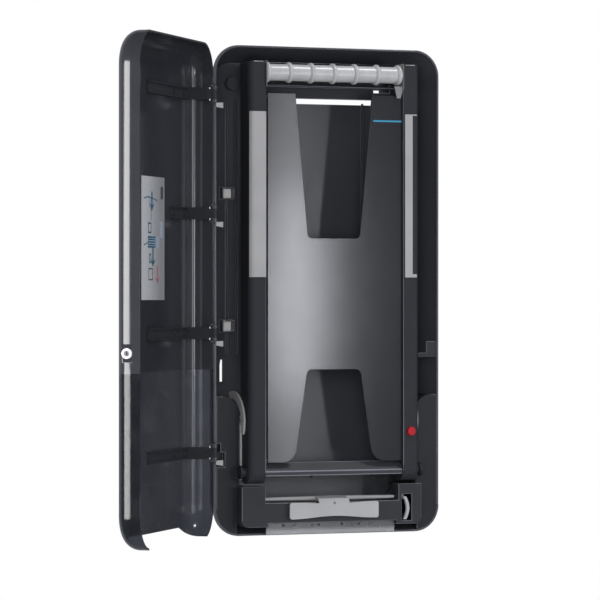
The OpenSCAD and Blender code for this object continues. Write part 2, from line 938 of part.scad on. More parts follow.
module fill_mark() {
    mark_w = 47;
    mark_h = 2.6;
    mark_t = 0.4;
    mark_z = panel_top_z - 38.7;
    x1 = rail_in - 1;
    color([0.2, 0.58, 0.75]) span([x1 - mark_w, panel_y - mark_t, mark_z - mark_h / 2],
        [x1, panel_y, mark_z + mark_h / 2]);
}

module pivot_pins() {
    color(steel) {
        pivot_pin();
        mirrored() pivot_pin();
    }
}

module pivot_pin() {
    collar = side_gap - 0.6;
    rod_x(rail_in + 4, block_in + ear_t - rail_in - 4, pivot_y, pivot_z, pivot_pin_d / 2);
    rod_x(rail_out, collar, pivot_y, pivot_z, pivot_pin_d / 2 + 3);
}

module catch_pins() {
    color(steel) {
        catch_pin();
        mirrored() catch_pin();
    }
}

module catch_pin() {
    head = 0.5;
    play = 0.2;
    head_x = catch_in + catch_t + play;
    root_x = rail_out - rail_wall - 2;
    rod_x(root_x, head_x + head - root_x, catch_y, catch_z, catch_pin_d / 2);
    rod_x(rail_out, catch_in - play - rail_out, catch_y, catch_z, catch_pin_d / 2 + 2);
    rod_x(head_x, head, catch_y, catch_z, catch_pin_d / 2 + 1.5);
}

// Roller

module top_roller() {
    color(light_grey) difference() {
        translate([0, roller_y, roller_z]) rotate([0, 90, 0]) rotate_extrude() roller_section();
        rod_x(-rail_in, bush_w + rail_in - roller_half, roller_y, roller_z, axle_d / 2 + bush_t + snug_fit);
        rod_x(roller_half - bush_w, rail_in, roller_y, roller_z, axle_d / 2 + bush_t + snug_fit);
    }
}

// Half section of the roller, radius along x and length along y
module roller_section() {
    bore = axle_d / 2 + 1.5;
    half_ring = ring_w / 2;
    bulge = ring_r - roller_r;
    translate([bore, -roller_half]) square([roller_r - bore, 2 * roller_half]);
    for (i = [0:ring_count - 1]) {
        y = (i - (ring_count - 1) / 2) * ring_pitch;
        intersection() {
            translate([roller_r - 0.1, y - half_ring]) square([bulge + 0.1, ring_w]);
            translate([ring_r - half_ring, y]) circle(half_ring);
        }
    }
}

module roller_bushes() {
    color(steel) for (s = [-1, 1]) {
        difference() {
            rod_x(s * (roller_half - bush_w / 2) - bush_w / 2, bush_w, roller_y, roller_z,
                axle_d / 2 + bush_t);
            rod_x(-rail_in, 2 * rail_in, roller_y, roller_z, axle_d / 2 + run_fit);
        }
    }
}

// Catches

tab_back = 16;
catch_tab_y = rail_y + tab_back;

// Side view of a catch lever: loop, hub, bar, rear arm with its nose, and the arm to the button
module catch_outline() {
    clear_r = striker_reach + striker_d / 2 + nose_gap;
    nose_w = 6;
    loop_shift = [1.5, -4.5];
    nose_back = striker_d / 2 + 1.5;
    translate([loop_y, loop_z]) intersection() {
        difference() {
            circle(loop_r);
            translate(loop_shift) circle(loop_r - loop_t);
        }
        polygon([[0, 0], [0.32 * loop_r, 1.2 * loop_r], [-1.2 * loop_r, 1.2 * loop_r],
            [-1.2 * loop_r, -0.55 * loop_r]]);
    }
    translate([catch_y, catch_z]) circle(catch_hub_r);
    translate([loop_y - loop_r + loop_t / 2, catch_z - catch_bar / 2])
        square([catch_y - loop_y + loop_r - loop_t / 2, catch_bar]);
    translate([catch_y - 2, catch_leg_low_z]) square([catch_leg_w, catch_z - catch_leg_low_z]);
    translate([catch_y, catch_z + 1]) square([striker_y + nose_back + nose_w - catch_y, catch_bar]);
    difference() {
        translate([striker_y + nose_back, striker_z - striker_d])
            square([nose_w, catch_z + 2 - striker_z + striker_d]);
        translate([pivot_y, pivot_z]) circle(clear_r);
    }
}

module catch_lever(with_tab) {
    color(light_grey) difference() {
        union() {
            side(catch_in, catch_t) {
                catch_outline();
                if (with_tab) {
                    polygon([[catch_y - catch_bar / 2, catch_z], [catch_y + catch_bar / 2, catch_z],
                        [catch_tab_y + tab_t, button_z - tab_h / 2], [catch_tab_y, button_z - tab_h / 2]]);
                }
            }
            if (with_tab) {
                span([tab_in, catch_tab_y, button_z - tab_h / 2],
                    [catch_in + catch_t, catch_tab_y + tab_t, button_z + tab_h / 2]);
            }
        }
        rod_x(catch_in - 1, catch_t + 2, catch_y, catch_z, catch_pin_d / 2 + run_fit);
    }
}

module left_catch_lever() {
    mirrored() catch_lever(false);
}

module right_catch_lever() {
    catch_lever(true);
}

module release_button() {
    proud = 3.5;
    stem_r = 3;
    stem_y = catch_tab_y - 1;
    color([0.84, 0.2, 0.24]) {
        rod_y(button_x, button_z, rail_y + rail_wall, rail_wall + proud - 1, button_d / 2);
        translate([button_x, rail_y - proud + 1, button_z]) rotate([90, 0, 0]) cylinder(r1 = button_d / 2,
            r2 = button_d / 2 - 1, h = 1);
        rod_y(button_x, button_z, rail_y + rail_wall + button_flange, button_flange, button_flange_r);
        rod_y(button_x, button_z, stem_y, stem_y - rail_y - rail_wall, stem_r);
    }
}

// Coil round the button stem: a tube swept along a helix
spring_r = 4.6;
spring_wire = 0.45;
spring_turns = 5;
spring_sides = 6;
spring_steps = 8;
spring_y0 = rail_y + rail_wall + button_flange + 0.5;
spring_len = catch_tab_y - spring_y0 - 1;

function spring_ring(i) =
    let (t = i / spring_steps * 360, y = spring_y0 + spring_len * i / (spring_turns * spring_steps))
    [for (k = [0:spring_sides - 1]) let (a = 360 * k / spring_sides, r = spring_r + spring_wire * cos(a))
        [button_x + r * cos(t), y + spring_wire * sin(a), button_z + r * sin(t)]];

module button_spring() {
    n = spring_turns * spring_steps;
    s = spring_sides;
    points = [for (i = [0:n]) each spring_ring(i)];
    walls = [for (i = [0:n - 1]) for (k = [0:s - 1]) let (a = i * s + k, b = i * s + (k + 1) % s)
        each [[a, b, a + s], [b, b + s, a + s]]];
    ends = [for (k = [1:s - 2]) each [[0, k + 1, k], [n * s, n * s + k, n * s + k + 1]]];
    color(steel) polyhedron(points = points, faces = concat(walls, ends));
}

// Outlet tongue

tongue_top_z = tongue_z - tongue_up;
tongue_front_y = outlet_y - tongue_fwd;
strip_half = pillar_in - 3;
waist = 2.5;
tongue_r = 4;

function tongue_edge(z, bow, dir) =
    [for (i = [0:12]) let (t = i / 6 - 1)
        [dir * t * (tongue_w / 2 - tongue_r), z + bow * (1 + cos(180 * t)) / 2]];

module outlet_tongue() {
    stem_w = 50;
    stem_t = 3.2;
    stem_low = 6;
    key_r = 1.8;
    r = tongue_pin_d / 2 + 1.8;
    end_r = tongue_pin_d / 2 + 0.5;
    end_x = tongue_w / 2 - tongue_r;
    low_z = tongue_top_z - tongue_h;
    color(light_grey) difference() {
        union() {
            for (turn = [-90, 90]) {
                translate([0, tongue_y, tongue_z]) rotate([0, turn, 0])
                    cylinder(r1 = r, r2 = end_r, h = strip_half);
            }
            side(-stem_w / 2, stem_w) polygon([[tongue_y, tongue_z + stem_t],
                [tongue_y, tongue_z - stem_t],
                [outlet_y - 2, tongue_z - stem_t],
                [tongue_front_y + tongue_t, tongue_top_z - stem_low],
                [tongue_front_y, tongue_top_z - stem_low],
                [tongue_front_y, tongue_top_z - 1],
                [outlet_y - stem_t, tongue_z]]);
            front(tongue_front_y + tongue_t, tongue_t) polygon(concat(
                tongue_edge(tongue_top_z, -waist, 1),
                arc([end_x, tongue_top_z - tongue_r], tongue_r, 90, 0),
                arc([end_x, low_z + tongue_r], tongue_r, 0, -90),
                tongue_edge(low_z, waist + 1.5, -1),
                arc([-end_x, low_z + tongue_r], tongue_r, 270, 180),
                arc([-end_x, tongue_top_z - tongue_r], tongue_r, 180, 90)));
        }
        rod_x(-pillar_in, 2 * pillar_in, tongue_y, tongue_z, tongue_pin_d / 2 + snug_fit);
        rod_y(0, tongue_top_z - key_r, tongue_front_y + tongue_t + 1, tongue_t + 2, key_r);
    }
}

module tongue_axle() {
    axle_x = -pillar_in - 6;
    color(steel) rod_x(axle_x, lever_x + lever_w - axle_x, tongue_y, tongue_z, tongue_pin_d / 2);
}

// Bowed finger on the outlet's right pillar, clamped to the tongue axle
module outlet_lever() {
    bow = 5;
    low_z = tongue_z - lever_h;
    proud = 2;
    hub_r = tongue_pin_d / 2 + 2;
    left = [for (i = [0:8]) [lever_x - lever_w / 2 + bow * sin(180 * i / 8), low_z + lever_h * i / 8]];
    right = [for (i = [8:-1:0]) [lever_x + lever_w / 2 + bow * sin(180 * i / 8), low_z + lever_h * i / 8]];
    color(light_grey) difference() {
        union() {
            front(outlet_y + outlet_wall, outlet_wall + proud) polygon(concat(left, right));
            rod_x(lever_x - lever_w / 2, lever_w, tongue_y, tongue_z, hub_r);
            span([lever_x - lever_w / 2, outlet_y, tongue_z - hub_r + 1],
                [lever_x + lever_w / 2, tongue_y, tongue_z]);
        }
        rod_x(lever_x - lever_w, 2 * lever_w, tongue_y, tongue_z, tongue_pin_d / 2 + snug_fit);
    }
}

// Cover, drawn closed and swung open by on_cover

module cover_outer() {
    translate([0, cover_y, 0]) soft_slab(housing_w, housing_h, cover_d, cover_corner_r, cover_edge_r);
}

module cover_body() {
    difference() {
        cover_outer();
        translate([0, cover_y, 0]) soft_slab(housing_w - 2 * cover_wall, housing_h - 2 * cover_wall,
            cover_d - cover_wall, cover_corner_r - cover_wall, cover_edge_r - cover_wall);
        front(cover_y + 1, cover_d + 2) polygon([[-cutout_w / 2 - cutout_slope, -half_h - 1],
            [-cutout_w / 2 + cutout_slope, cutout_top_z],
            [cutout_w / 2, cutout_top_z],
            [cutout_w / 2, -half_h - 1]]);
        for (z = hinge_zs) {
            translate([hinge_x, hinge_y, z]) cylinder(r = knuckle_r + swing_gap,
                h = 2 * (hinge_reach + swing_gap), center = true);
            span([-half_w - 1, hinge_y - knuckle_r - 1.5, z - arm_h / 2 - 1],
                [-half_w + cover_wall + 1, cover_y + 1, z + arm_h / 2 + 1]);
        }
    }
}

module cover_shell() {
    color(gloss_black) on_cover() difference() {
        union() {
            intersection() {
                cover_body();
                span([-housing_w, cover_front_y - 1, window_top_z], [housing_w, cover_y + 1, housing_h]);
            }
            intersection() {
                cover_outer();
                span([lock_seat_x - pocket_wall, lock_y - pocket_w / 2 - pocket_wall,
                    lock_z - pocket_h / 2 - pocket_wall],
                    [half_w, lock_y + pocket_w / 2 + pocket_wall, lock_z + pocket_h / 2 + pocket_wall]);
            }
            rod_x(lock_seat_x - boss_len, boss_len, lock_y, lock_z, barrel_d / 2 + pocket_wall);
        }
        rod_x(lock_seat_x - boss_len - 1, boss_len + 5, lock_y, lock_z, barrel_d / 2 + snug_fit);
        span([lock_seat_x, lock_y - pocket_w / 2, lock_z - pocket_h / 2],
            [half_w + 1, lock_y + pocket_w / 2, lock_z + pocket_h / 2]);
    }
}

module cover_window() {
    color(smoke) on_cover() intersection() {
        cover_body();
        span([-housing_w, cover_front_y - 1, -housing_h], [housing_w, cover_y + 1, window_top_z]);
    }
}

module hinge_arm(i) {
    z = hinge_zs[i];
    link_y = hinge_y - knuckle_r;
    color(gloss_black) on_cover() translate([0, 0, z]) {
        difference() {
            union() {
                translate([hinge_x, hinge_y, 0]) cylinder(r = knuckle_r, h = knuckle_h, center = true);
                span([hinge_x, link_y, -knuckle_h / 2], [arm_leg_x, link_y + arm_t, knuckle_h / 2]);
                span([arm_leg_x, cover_in_y, -arm_h / 2], [arm_leg_x + arm_t, link_y + arm_t, arm_h / 2]);
                span([arm_leg_x, cover_in_y, -arm_h / 2],
                    [arm_leg_x + rib_runs[i], cover_in_y + rib_foot, arm_h / 2]);
                for (s = [-1, 1]) {
                    span([arm_leg_x, cover_in_y, s * (arm_h / 2 - 1) - 1],
                        [arm_leg_x + rib_runs[i], cover_in_y + rib_h, s * (arm_h / 2 - 1) + 1]);
                }
            }
            translate([hinge_x, hinge_y, 0])
                cylinder(d = hinge_pin_d + 2 * run_fit, h = knuckle_h + 2, center = true);
        }
    }
}

module hinge_arm_1() {
    hinge_arm(0);
}

module hinge_arm_2() {
    hinge_arm(1);
}

module hinge_arm_3() {
    hinge_arm(2);
}

module hinge_arm_4() {
    hinge_arm(3);
}

module arm_screws() {
    color(steel) on_cover() for (z = hinge_zs) {
        for (x = [arm_leg_x + 20, arm_leg_x + rib_short - 14]) {
            difference() {
                rod_y(x, z, cover_in_y + rib_foot + arm_screw_t, arm_screw_t, arm_screw_r);
                rod_y(x, z, cover_in_y + rib_foot + arm_screw_t + 1, 2, 1.2);
            }
        }
    }
}

module instruction_label() {
    label_w = 112.5;
    label_x = 11.75;
    label_h = 177;
    label_mid_z = 74.5;
    label_t = 0.4;
    color(light_grey) on_cover() span([label_x - label_w / 2, cover_in_y, label_mid_z - label_h / 2],
        [label_x + label_w / 2, cover_in_y + label_t, label_mid_z + label_h / 2]);
}

// Lock, drawn on the closed cover's right wall

module lock_barrel() {
    barrel_len = boss_len + nut_t + 4;
    color(steel) on_cover() difference() {
        union() {
            rod_x(lock_seat_x - barrel_len, barrel_len, lock_y, lock_z, barrel_d / 2);
            rod_x(lock_seat_x, flange_t, lock_y, lock_z, flange_r);
        }
        rod_x(lock_seat_x - barrel_len - 1, barrel_len + 6, lock_y, lock_z, plug_d / 2 + run_fit);
    }
}

module lock_nut() {
    color(steel) on_cover() difference() {
        translate([lock_seat_x - boss_len - nut_t, lock_y, lock_z]) rotate([0, 90, 0])
            cylinder(r = barrel_d / 2 + 4, h = nut_t, $fn = 6);
        rod_x(lock_seat_x - boss_len - nut_t - 1, nut_t + 2, lock_y, lock_z, barrel_d / 2 + snug_fit);
    }
}

module lock_plug() {
    slot_len = 5;
    slot_w = 1.6;
    color(steel) on_cover() difference() {
        rod_x(cam_x + cam_t, lock_seat_x + flange_t - 0.4 - cam_x - cam_t, lock_y, lock_z, plug_d / 2);
        span([lock_seat_x + flange_t - 6, lock_y - slot_w / 2, lock_z - slot_len / 2],
            [lock_seat_x + flange_t + 1, lock_y + slot_w / 2, lock_z + slot_len / 2]);
        rod_x(cam_x, 8, lock_y, lock_z, 1.5);
    }
}

module lock_cam() {
    color(steel) on_cover() difference() {
        side(cam_x, cam_t) {
            translate([lock_y, lock_z]) circle(plug_d / 2 + 1);
            translate([lock_y - cam_w / 2, lock_z]) square([cam_w, cam_reach]);
            translate([lock_y, lock_z + cam_reach - hook_t]) square([cam_w / 2 + hook_len, hook_t]);
        }
        rod_x(cam_x - 1, cam_t + 2, lock_y, lock_z, 1.5 + snug_fit);
    }
}

module cam_screw() {
    color(steel) on_cover() {
        rod_x(cam_x - 2.4, 2.4, lock_y, lock_z, 3.5);
        rod_x(cam_x, cam_t + 5, lock_y, lock_z, 1.5 - snug_fit);
    }
}

rear_housing();
pivot_block_left();
pivot_block_right();
stack_shelf();
outlet_housing();
outlet_lip();
lock_striker();
hinge_pins();
hinge_clips();
hole_plugs();
catch_strikers();
left_rail();
right_rail();
front_panel();
lower_crossbar();
web_guide();
left_rail_strip();
right_rail_strip();
left_roller_bracket();
right_roller_bracket();
roller_axle();
fill_mark();
pivot_pins();
catch_pins();
top_roller();
roller_bushes();
left_catch_lever();
right_catch_lever();
release_button();
button_spring();
outlet_tongue();
tongue_axle();
outlet_lever();
cover_shell();
cover_window();
hinge_arm_1();
hinge_arm_2();
hinge_arm_3();
hinge_arm_4();
arm_screws();
instruction_label();
lock_barrel();
lock_nut();
lock_plug();
lock_cam();
cam_screw();
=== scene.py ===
import math

import bmesh
import bpy
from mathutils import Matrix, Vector


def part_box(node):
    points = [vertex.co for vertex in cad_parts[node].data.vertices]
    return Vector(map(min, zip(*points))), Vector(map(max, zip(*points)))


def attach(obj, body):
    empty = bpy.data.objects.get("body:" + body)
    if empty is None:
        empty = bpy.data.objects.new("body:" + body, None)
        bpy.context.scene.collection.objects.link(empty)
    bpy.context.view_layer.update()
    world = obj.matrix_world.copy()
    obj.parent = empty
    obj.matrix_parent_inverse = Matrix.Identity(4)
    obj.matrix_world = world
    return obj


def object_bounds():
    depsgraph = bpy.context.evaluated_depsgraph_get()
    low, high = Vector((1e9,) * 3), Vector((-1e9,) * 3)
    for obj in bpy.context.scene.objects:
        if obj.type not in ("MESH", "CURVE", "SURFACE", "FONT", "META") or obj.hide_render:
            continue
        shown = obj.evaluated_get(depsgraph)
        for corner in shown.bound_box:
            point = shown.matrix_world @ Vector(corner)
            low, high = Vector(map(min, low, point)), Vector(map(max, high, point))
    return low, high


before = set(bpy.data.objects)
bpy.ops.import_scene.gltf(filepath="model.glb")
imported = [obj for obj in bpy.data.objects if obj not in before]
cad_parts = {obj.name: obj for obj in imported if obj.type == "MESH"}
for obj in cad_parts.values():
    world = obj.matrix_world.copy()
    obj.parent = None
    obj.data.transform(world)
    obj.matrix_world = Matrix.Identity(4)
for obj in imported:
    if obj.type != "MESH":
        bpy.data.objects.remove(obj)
cad_low, cad_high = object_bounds()

bl_info = {
    "name": "Towel Dispenser Looks",
    "version": (1, 0, 0),
    "blender": (4, 5, 0),
    "location": "View3D > Sidebar > Dispenser",
    "description": "Finishes, printed label, light and camera for an open wall dispenser",
    "category": "Object",
}

IMAGE_PX = 600
SENSOR_WIDTH = 36.0
MM = 0.001

# Edges that are longer and sharper than this get a rounding
LONG_EDGE = 6 * MM
SHARP_EDGE = math.radians(35)
ROUNDING_STEPS = 2
FACE_WEIGHT = 100
MERGE_GAP = 0.01 * MM

# The middle span of a noise, which the finishes spread over their own range
NOISE_LOW = 0.3
NOISE_HIGH = 0.7
CLOUD_SHARE = 0.12

# How deep the print's underside lies in the label
PRINT_SINK = 0.02 * MM
# An arrow's head, in shares of the label's half sizes and of its stem
HEAD_HALF = 0.16
HEAD_RISE = 0.06
HEAD_WEIGHT = 0.5

# Where each lamp stands, and how wide and high it is
LAMPS = {
    "key_tall": {"place": (0.567, -1.5, 0.0), "size": (0.1, 0.96)},
    "key_short": {"place": (0.55, -1.455, 0.0), "size": (0.1, 0.43)},
    "cover_soft": {"place": (1.25, -1.45, 0.0), "size": (0.5, 0.9)},
    "side_soft": {"place": (-1.93, -0.42, 0.0), "size": (1.09, 1.16)},
    "front_soft": {"place": (-1.23, -2.74, 0.2), "size": (1.2, 1.2)},
    "top_spot": {"place": (0.66, -0.58, 1.7), "size": (0.3, 0.3)},
}
LAMP_AIM = Vector((0, -0.05, 0))
KEY_TINT = (0.965, 0.975, 1.03)
KEY_TALL_SHARE = 0.64

# The room that gloss finds: where front turns to behind, and the dim window's soft edge
ROOM_TINT = (0.95, 0.98, 1.1, 1)
WHITE = (1, 1, 1, 1)
WALL_FADE = (0.6, 0.92)
WINDOW_REACH = math.radians(20)
WINDOW_CORE = math.radians(6)

FLOOR_CLOUD = 0.02
FLOOR_SHADES = ((0.8, 0.8, 0.8), (0.84, 0.84, 0.84))
FLOOR_FADE = (0.45, 0.98)
FLOOR_SIDES = 96

BLOCK_NODES = ("pivot_block_left", "pivot_block_right")
INNER_NODES = (
    "stack_shelf",
    "outlet_housing",
    "lock_striker",
    "pivot_pins",
    "roller_bushes",
)
ARM_NODES = ("hinge_arm_1", "hinge_arm_2", "hinge_arm_3", "hinge_arm_4", "arm_screws")
CARRIAGE_NODES = ("left_rail", "right_rail", "web_guide")
STRIP_NODES = (
    "left_rail_strip",
    "right_rail_strip",
    "hinge_clips",
    "left_catch_lever",
    "right_catch_lever",
)
BRACKET_NODES = ("left_roller_bracket", "right_roller_bracket")
TONGUE_NODES = ("outlet_tongue", "outlet_lever")
STEEL_NODES = (
    "catch_strikers",
    "lock_cam",
    "cam_screw",
    "roller_axle",
    "catch_pins",
    "button_spring",
    "tongue_axle",
)
LOCK_NODES = ("lock_barrel", "lock_nut")


class DispenserFinishes(bpy.types.PropertyGroup):
    """Colours and gloss of the moulded pieces."""

    housing_colour: bpy.props.FloatVectorProperty(
        name="Housing",
        description="Black of the tray that hangs on the wall",
        subtype="COLOR",
        default=(0.0335, 0.0345, 0.039),
    )
    cover_colour: bpy.props.FloatVectorProperty(
        name="Cover",
        description="Black of the glossy swinging cover",
        subtype="COLOR",
        default=(0.0188, 0.0195, 0.0226),
    )
    carriage_colour: bpy.props.FloatVectorProperty(
        name="Carriage",
        description="Black of the rails and bars of the tilting carriage",
        subtype="COLOR",
        default=(0.0176, 0.0183, 0.021),
    )
    panel_colour: bpy.props.FloatVectorProperty(
        name="Panel",
        description="Dark grey of the stack panel",
        subtype="COLOR",
        default=(0.0137, 0.0143, 0.0165),
    )
    smoke_colour: bpy.props.FloatVectorProperty(
        name="Smoked window",
        description="Tint of the see-through lower part of the cover",
        subtype="COLOR",
        default=(0.044, 0.048, 0.058),
    )
    lip_pale: bpy.props.FloatVectorProperty(
        name="Lip below",
        description="Grey of the outlet lip at its lower edge",
        subtype="COLOR",
        default=(0.27, 0.272, 0.276),
    )
    lip_dark: bpy.props.FloatVectorProperty(
        name="Lip above",
        description="Grey of the outlet lip at its upper edge",
        subtype="COLOR",
        default=(0.11, 0.111, 0.114),
    )
    strip_colour: bpy.props.FloatVectorProperty(
        name="Rail strip",
        description="Light grey of the strips let into the rails",
        subtype="COLOR",
        default=(0.236, 0.233, 0.229),
    )
    roller_colour: bpy.props.FloatVectorProperty(
        name="Roller",
        description="Light grey of the ribbed roller and, a little darker, of the outlet tongue",
        subtype="COLOR",
        default=(0.31, 0.308, 0.305),
    )
    button_colour: bpy.props.FloatVectorProperty(
        name="Button",
        description="Red of the release button",
        subtype="COLOR",
        default=(0.28, 0.006, 0.013),
    )
    mark_colour: bpy.props.FloatVectorProperty(
        name="Fill mark",
        description="Blue of the fill mark and, darker, of the label's line drawings",
        subtype="COLOR",
        default=(0.028, 0.19, 0.3),
    )
    steel_colour: bpy.props.FloatVectorProperty(
        name="Steel",
        description="Colour of pins, screws, axles and lock",
        subtype="COLOR",
        default=(0.55, 0.55, 0.57),
    )
    grain_size: bpy.props.FloatProperty(
        name="Grain",
        description="Width of one grain of the moulded texture",
        subtype="DISTANCE",
        unit="LENGTH",
        default=0.7 * MM,
    )
    edge_round: bpy.props.FloatProperty(
        name="Edge rounding",
        description="Width of the small rounding along moulded edges",
        subtype="DISTANCE",
        unit="LENGTH",
        default=0.6 * MM,
    )


class DispenserLabel(bpy.types.PropertyGroup):
    """Stock, inks and sizes of the label's drawings."""

    stock_colour: bpy.props.FloatVectorProperty(
        name="Stock",
        description="Grey of the label stock",
        subtype="COLOR",
        default=(0.27, 0.275, 0.28),
    )
    tint_ink: bpy.props.FloatVectorProperty(
        name="Tint",
        description="Pale blue-grey of the printed patches",
        subtype="COLOR",
        default=(0.19, 0.215, 0.25),
    )
    dark_ink: bpy.props.FloatVectorProperty(
        name="Dark ink",
        description="Near black of the dark lines",
        subtype="COLOR",
        default=(0.045, 0.045, 0.05),
    )
    red_ink: bpy.props.FloatVectorProperty(
        name="Red ink",
        description="Dull red of the lowest arrow",
        subtype="COLOR",
        default=(0.26, 0.07, 0.09),
    )
    line_width: bpy.props.FloatProperty(
        name="Line",
        description="Width of a printed line of weight one",
        subtype="DISTANCE",
        unit="LENGTH",
        default=1.1 * MM,
    )
    print_lift: bpy.props.FloatProperty(
        name="Print lift",
        description="Height of the print over the label",
        subtype="DISTANCE",
        unit="LENGTH",
        default=0.12 * MM,
    )
    margin: bpy.props.FloatProperty(
        name="Margin",
        description="Bare edge round the drawings",
        subtype="DISTANCE",
        unit="LENGTH",
        default=6 * MM,
    )


class DispenserStage(bpy.types.PropertyGroup):
    """Camera, lamps, room and floor."""

    camera_turn: bpy.props.FloatProperty(
        name="Camera turn",
        description="Angle of the view to the left of straight on",
        subtype="ANGLE",
        unit="ROTATION",
        default=math.radians(24.2),
    )
    camera_distance: bpy.props.FloatProperty(
        name="Camera distance",
        description="From the housing's front to the camera",
        subtype="DISTANCE",
        unit="LENGTH",
        default=5.734,
    )
    camera_aside: bpy.props.FloatProperty(
        name="Camera aside",
        description="How far the view's middle lies to the left of the housing's",
        subtype="DISTANCE",
        unit="LENGTH",
        default=0.0442,
    )
    camera_height: bpy.props.FloatProperty(
        name="Camera height",
        description="Height of the level camera",
        subtype="DISTANCE",
        unit="LENGTH",
        default=-0.014,
    )
    focal_px: bpy.props.FloatProperty(
        name="Focal length",
        description="Focal length in pixels of the square image",
        default=3820.0,
    )
    key_power: bpy.props.FloatProperty(
        name="Key lamps",
        description="Power of the two upright strip lamps in front, taken together",
        subtype="POWER",
        unit="POWER",
        default=3.15,
    )
    cover_power: bpy.props.FloatProperty(
        name="Cover lamp",
        description="Power of the soft lamp on the right that the open cover mirrors",
        subtype="POWER",
        unit="POWER",
        default=5.5,
    )
    front_power: bpy.props.FloatProperty(
        name="Front lamp",
        description="Power of the large soft lamp beside the camera",
        subtype="POWER",
        unit="POWER",
        default=46.0,
    )
    side_power: bpy.props.FloatProperty(
        name="Side lamp",
        description="Power of the wide soft lamp on the left",
        subtype="POWER",
        unit="POWER",
        default=50.0,
    )
    top_power: bpy.props.FloatProperty(
        name="Top lamp",
        description="Power of the small lamp overhead",
        subtype="POWER",
        unit="POWER",
        default=12.0,
    )
    fill_level: bpy.props.FloatProperty(
        name="Fill",
        description="Even light from all round",
        default=0.71,
    )
    front_level: bpy.props.FloatProperty(
        name="Room in front",
        description="How bright gloss finds the room in front of the wall",
        default=0.13,
    )
    behind_level: bpy.props.FloatProperty(
        name="Room behind",
        description="How bright gloss finds the white behind the wall",
        default=0.45,
    )
    window_turn: bpy.props.FloatProperty(
        name="Dim window",
        description="Direction of the dim upright window that gloss on the camera's side finds",
        subtype="ANGLE",
        unit="ROTATION",
        default=math.radians(236),
    )
    window_level: bpy.props.FloatProperty(
        name="Dim window level",
        description="Brightness of that window",
        default=0.55,
    )
    floor_drop: bpy.props.FloatProperty(
        name="Floor drop",
        description="Gap between the object and the floor",
        subtype="DISTANCE",
        unit="LENGTH",
        default=0.22,
    )
    floor_radius: bpy.props.FloatProperty(
        name="Floor radius",
        description="Radius of the round floor",
        subtype="DISTANCE",
        unit="LENGTH",
        default=0.75,
    )


def finishes():
    return bpy.context.scene.dispenser_finishes


def scaled(colour, factor):
    return tuple(min(1.0, c * factor) for c in colour)


class NodeSheet:
    """A node tree with short ways to add and join nodes."""

    def __init__(self, tree):
        self.tree = tree

    def add(self, kind, **values):
        node = self.tree.nodes.new(kind)
        for key, value in values.items():
            setattr(node, key, value)
        return node

    def link(self, source, target):
        self.tree.links.new(source, target)

    def math(self, operation, first, second):
        """Works out one value from two, each a socket or a number."""
        node = self.add("ShaderNodeMath", operation=operation)
        for slot, value in zip(node.inputs, (first, second)):
            if isinstance(value, bpy.types.NodeSocket):
                self.link(value, slot)
            else:
                slot.default_value = value
        return node.outputs["Value"]

    def along(self, source, direction):
        """How far a place reaches in a direction."""
        node = self.add("ShaderNodeVectorMath", operation="DOT_PRODUCT")
        node.inputs[1].default_value = direction
        self.link(source, node.inputs[0])
        return node.outputs["Value"]

    def ranged(self, source, low, high, start=NOISE_LOW, end=NOISE_HIGH, blend="LINEAR"):
        """Carries the span from start to end over to the span from low to high."""
        node = self.add("ShaderNodeMapRange", interpolation_type=blend)
        for key, value in (("From Min", start), ("From Max", end), ("To Min", low), ("To Max", high)):
            node.inputs[key].default_value = value
        self.link(source, node.inputs["Value"])
        return node.outputs["Result"]

    def mixed(self, share, first, second):
        """Mixes two shader nodes; a share of one is all second."""
        node = self.add("ShaderNodeMixShader")
        self.link(share, node.inputs["Fac"])
        self.link(first.outputs[0], node.inputs[1])
        self.link(second.outputs[0], node.inputs[2])
        return node


class Shader(NodeSheet):
    """A material whose patterns are measured in grains."""

    def __init__(self, name, grain=None):
        self.material = bpy.data.materials.new(name)
        self.material.use_nodes = True
        super().__init__(self.material.node_tree)
        self.bsdf = self.tree.nodes["Principled BSDF"]
        self.place = self.add("ShaderNodeTexCoord").outputs["Object"]
        self.grain = grain or finishes().grain_size

    def set(self, **values):
        for key, value in values.items():
            self.bsdf.inputs[key.replace("_", " ")].default_value = value

    def noise(self, grains, detail=3.0, stretch=(1.0, 1.0, 1.0)):
        """Noise with features some grains wide, squeezed along an axis by stretch."""
        mapping = self.add("ShaderNodeMapping")
        mapping.inputs["Scale"].default_value = stretch
        self.link(self.place, mapping.inputs["Vector"])
        noise = self.add("ShaderNodeTexNoise")
        noise.inputs["Scale"].default_value = 1.0 / (grains * self.grain)
        noise.inputs["Detail"].default_value = detail
        self.link(mapping.outputs["Vector"], noise.inputs["Vector"])
        return noise.outputs["Fac"]

    def clouded(self, source, grains, detail=3.0):
        """Adds a faint cloud to a value."""
        cloud = self.math("MULTIPLY", self.noise(grains, detail), CLOUD_SHARE)
        return self.math("ADD", cloud, source)

    def colour_between(self, source, first, second):
        ramp = self.add("ShaderNodeValToRGB")
        stops = zip(ramp.color_ramp.elements, (NOISE_LOW, NOISE_HIGH), (first, second))
        for stop, position, colour in stops:
            stop.position = position
            stop.color = (*colour, 1.0)
        self.link(source, ramp.inputs["Fac"])
        self.link(ramp.outputs["Color"], self.bsdf.inputs["Base Color"])

    def rough_between(self, source, low, high):
        self.link(self.ranged(source, low, high), self.bsdf.inputs["Roughness"])

    def bump(self, source, strength, grains, under=None):
        """Raises the surface by some grains, on top of an earlier bump if there is one."""
        node = self.add("ShaderNodeBump")
        node.inputs["Strength"].default_value = strength
        node.inputs["Distance"].default_value = grains * self.grain
        self.link(source, node.inputs["Height"])
        if under is not None:
            self.link(under, node.inputs["Normal"])
        self.link(node.outputs["Normal"], self.bsdf.inputs["Normal"])
        return node.outputs["Normal"]


